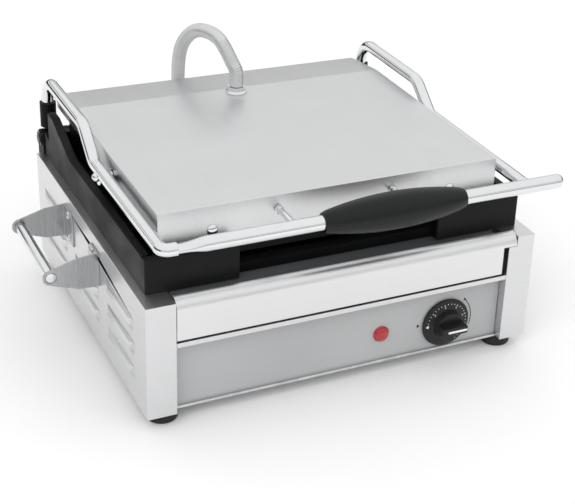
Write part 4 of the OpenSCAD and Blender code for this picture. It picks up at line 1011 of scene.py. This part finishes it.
class GRILL_OT_stage(Operator):
    """Plain pale floor, soft studio light and the camera"""
    bl_idname = "grill.stage"
    bl_label = "Stage"

    def execute(self, context):
        scene = context.scene
        scene.view_settings.view_transform = "Standard"
        self.floor()
        self.world(scene)
        self.light("key softbox", (-1.5, -1.3, 1.9), 1.5, 14)
        self.light("front softbox", (0.8, -2.2, 1.1), 1.4, 6)
        self.light("right softbox", (2.0, 0.2, 1.4), 1.2, 3)
        self.light("back softbox", (0.2, 1.9, 1.7), 1.6, 5)
        self.card("left card", (-1.3, 0.1, 0.28), (0.02, 1.6, 0.36))
        self.card("right card", (1.25, 0.35, 0.30), (0.02, 1.4, 0.4))
        self.card("back card", (0, 1.4, 0.25), (2.0, 0.02, 0.3))
        self.camera(scene)
        return {"FINISHED"}

    @staticmethod
    def floor():
        bm = bmesh.new()
        bmesh.ops.create_grid(bm, x_segments=1, y_segments=1, size=6)
        mesh = bpy.data.meshes.new("floor")
        bm.to_mesh(mesh)
        bm.free()
        made, tree, surface = start_material("floor", (0.93, 0.93, 0.93), 0.0, 0.6, specular_ior_level=0.2)
        tone = noise(tree, 3, (1, 1, 1), 2)
        tree.links.new(shades(tree, tone, (0.925, 0.925, 0.925), (0.935, 0.935, 0.935)),
                       surface.inputs["Base Color"])
        mesh.materials.append(made)
        floor = bpy.data.objects.new("floor", mesh)
        bpy.context.scene.collection.objects.link(floor)

    @staticmethod
    def world(scene):
        """A white studio, a little darker towards the horizon so that round metal shows its shape"""
        world = bpy.data.worlds.new("studio")
        world.use_nodes = True
        scene.world = world
        tree = world.node_tree
        back = tree.nodes["Background"]
        place = tree.nodes.new("ShaderNodeTexCoord")
        split = tree.nodes.new("ShaderNodeSeparateXYZ")
        tree.links.new(place.outputs["Generated"], split.inputs["Vector"])
        ramp = tree.nodes.new("ShaderNodeValToRGB")
        bands = ((0.0, 0.12), (0.05, 0.2), (0.09, 0.95), (0.2, 1.0), (0.24, 0.42), (0.30, 0.5), (0.36, 0.95),
                 (0.8, 1.0))
        stops = ramp.color_ramp.elements
        while len(stops) < len(bands):
            stops.new(0.5)
        for stop, (place, grey) in zip(stops, bands):
            stop.position = place
            stop.color = (grey, grey, grey, 1)
        tree.links.new(split.outputs["Z"], ramp.inputs["Fac"])
        tree.links.new(ramp.outputs["Color"], back.inputs["Color"])
        back.inputs["Strength"].default_value = 1.0

    @staticmethod
    def light(name, place, size, power):
        data = bpy.data.lights.new(name, "AREA")
        data.shape = "SQUARE"
        data.size = size
        data.energy = power
        lamp = bpy.data.objects.new(name, data)
        lamp.visible_glossy = False
        lamp.location = place
        aim = Vector((0, 0, 0.15)) - Vector(place)
        lamp.rotation_euler = aim.to_track_quat("-Z", "Y").to_euler()
        bpy.context.scene.collection.objects.link(lamp)

    @staticmethod
    def card(name, centre, size):
        """A dark card that only reflections see, so that chrome and sheet edges stand out"""
        bm = bmesh.new()
        half = Vector(size) / 2
        block(bm, Vector(centre) - half, Vector(centre) + half)
        mesh = bpy.data.meshes.new(name)
        bm.to_mesh(mesh)
        bm.free()
        made, tree, surface = start_material(name, (0.03, 0.03, 0.03), 0.0, 0.9)
        mesh.materials.append(made)
        card = bpy.data.objects.new(name, mesh)
        card.visible_camera = False
        card.visible_shadow = False
        card.visible_diffuse = False
        bpy.context.scene.collection.objects.link(card)

    @staticmethod
    def camera(scene):
        """A long lens from the front left and above, tilted by a few degrees"""
        heading = math.radians(28.297)
        drop = math.radians(27.048)
        roll = math.radians(3.381)
        ahead = Vector((math.sin(heading) * math.cos(drop), math.cos(heading) * math.cos(drop), -math.sin(drop)))
        right = Vector((math.cos(heading), -math.sin(heading), 0))
        up = right.cross(ahead)
        turned_right = right * math.cos(roll) + up * math.sin(roll)
        turned_up = up * math.cos(roll) - right * math.sin(roll)
        data = bpy.data.cameras.new("camera")
        data.sensor_width = 36
        data.lens = 87.02
        data.shift_x = -0.132
        data.shift_y = -0.040
        camera = bpy.data.objects.new("camera", data)
        casing = low("side_panel_left")
        place = Vector((-0.5921, casing.y - 1.1173, casing.z + 0.8233))
        axes = Matrix((turned_right, turned_up, -ahead)).transposed().to_4x4()
        camera.matrix_world = Matrix.Translation(place) @ axes
        scene.collection.objects.link(camera)
        scene.camera = camera


class GRILL_PT_builder(Panel):
    """Lists the builder's settings and steps"""
    bl_label = "Contact Grill"
    bl_idname = "GRILL_PT_builder"
    bl_space_type = "VIEW_3D"
    bl_region_type = "UI"
    bl_category = "Grill"

    def draw(self, context):
        layout = self.layout
        for group in (context.scene.grill_sizes, context.scene.grill_tones):
            box = layout.box()
            for name in group.__annotations__:
                box.prop(group, name)
        for step in STEPS:
            layout.operator(step.bl_idname)


STEPS = (GRILL_OT_finishes, GRILL_OT_casing, GRILL_OT_castings, GRILL_OT_lid, GRILL_OT_arms, GRILL_OT_handle,
         GRILL_OT_hinge, GRILL_OT_conduit, GRILL_OT_knob, GRILL_OT_panel_marks, GRILL_OT_tray,
         GRILL_OT_carry_handles, GRILL_OT_feet, GRILL_OT_inner_works, GRILL_OT_stage)
CLASSES = (GrillSizes, GrillTones, *STEPS, GRILL_PT_builder)


def register():
    for item in CLASSES:
        bpy.utils.register_class(item)
    bpy.types.Scene.grill_sizes = PointerProperty(type=GrillSizes)
    bpy.types.Scene.grill_tones = PointerProperty(type=GrillTones)


def unregister():
    del bpy.types.Scene.grill_tones
    del bpy.types.Scene.grill_sizes
    for item in reversed(CLASSES):
        bpy.utils.unregister_class(item)


def main():
    register()
    bpy.ops.grill.finishes()
    bpy.ops.grill.casing()
    bpy.ops.grill.castings()
    bpy.ops.grill.lid()
    bpy.ops.grill.arms()
    bpy.ops.grill.handle()
    bpy.ops.grill.hinge()
    bpy.ops.grill.conduit()
    bpy.ops.grill.knob()
    bpy.ops.grill.panel_marks()
    bpy.ops.grill.tray()
    bpy.ops.grill.carry_handles()
    bpy.ops.grill.feet()
    bpy.ops.grill.inner_works()
    bpy.ops.grill.stage()


if __name__ == "__main__":
    main()
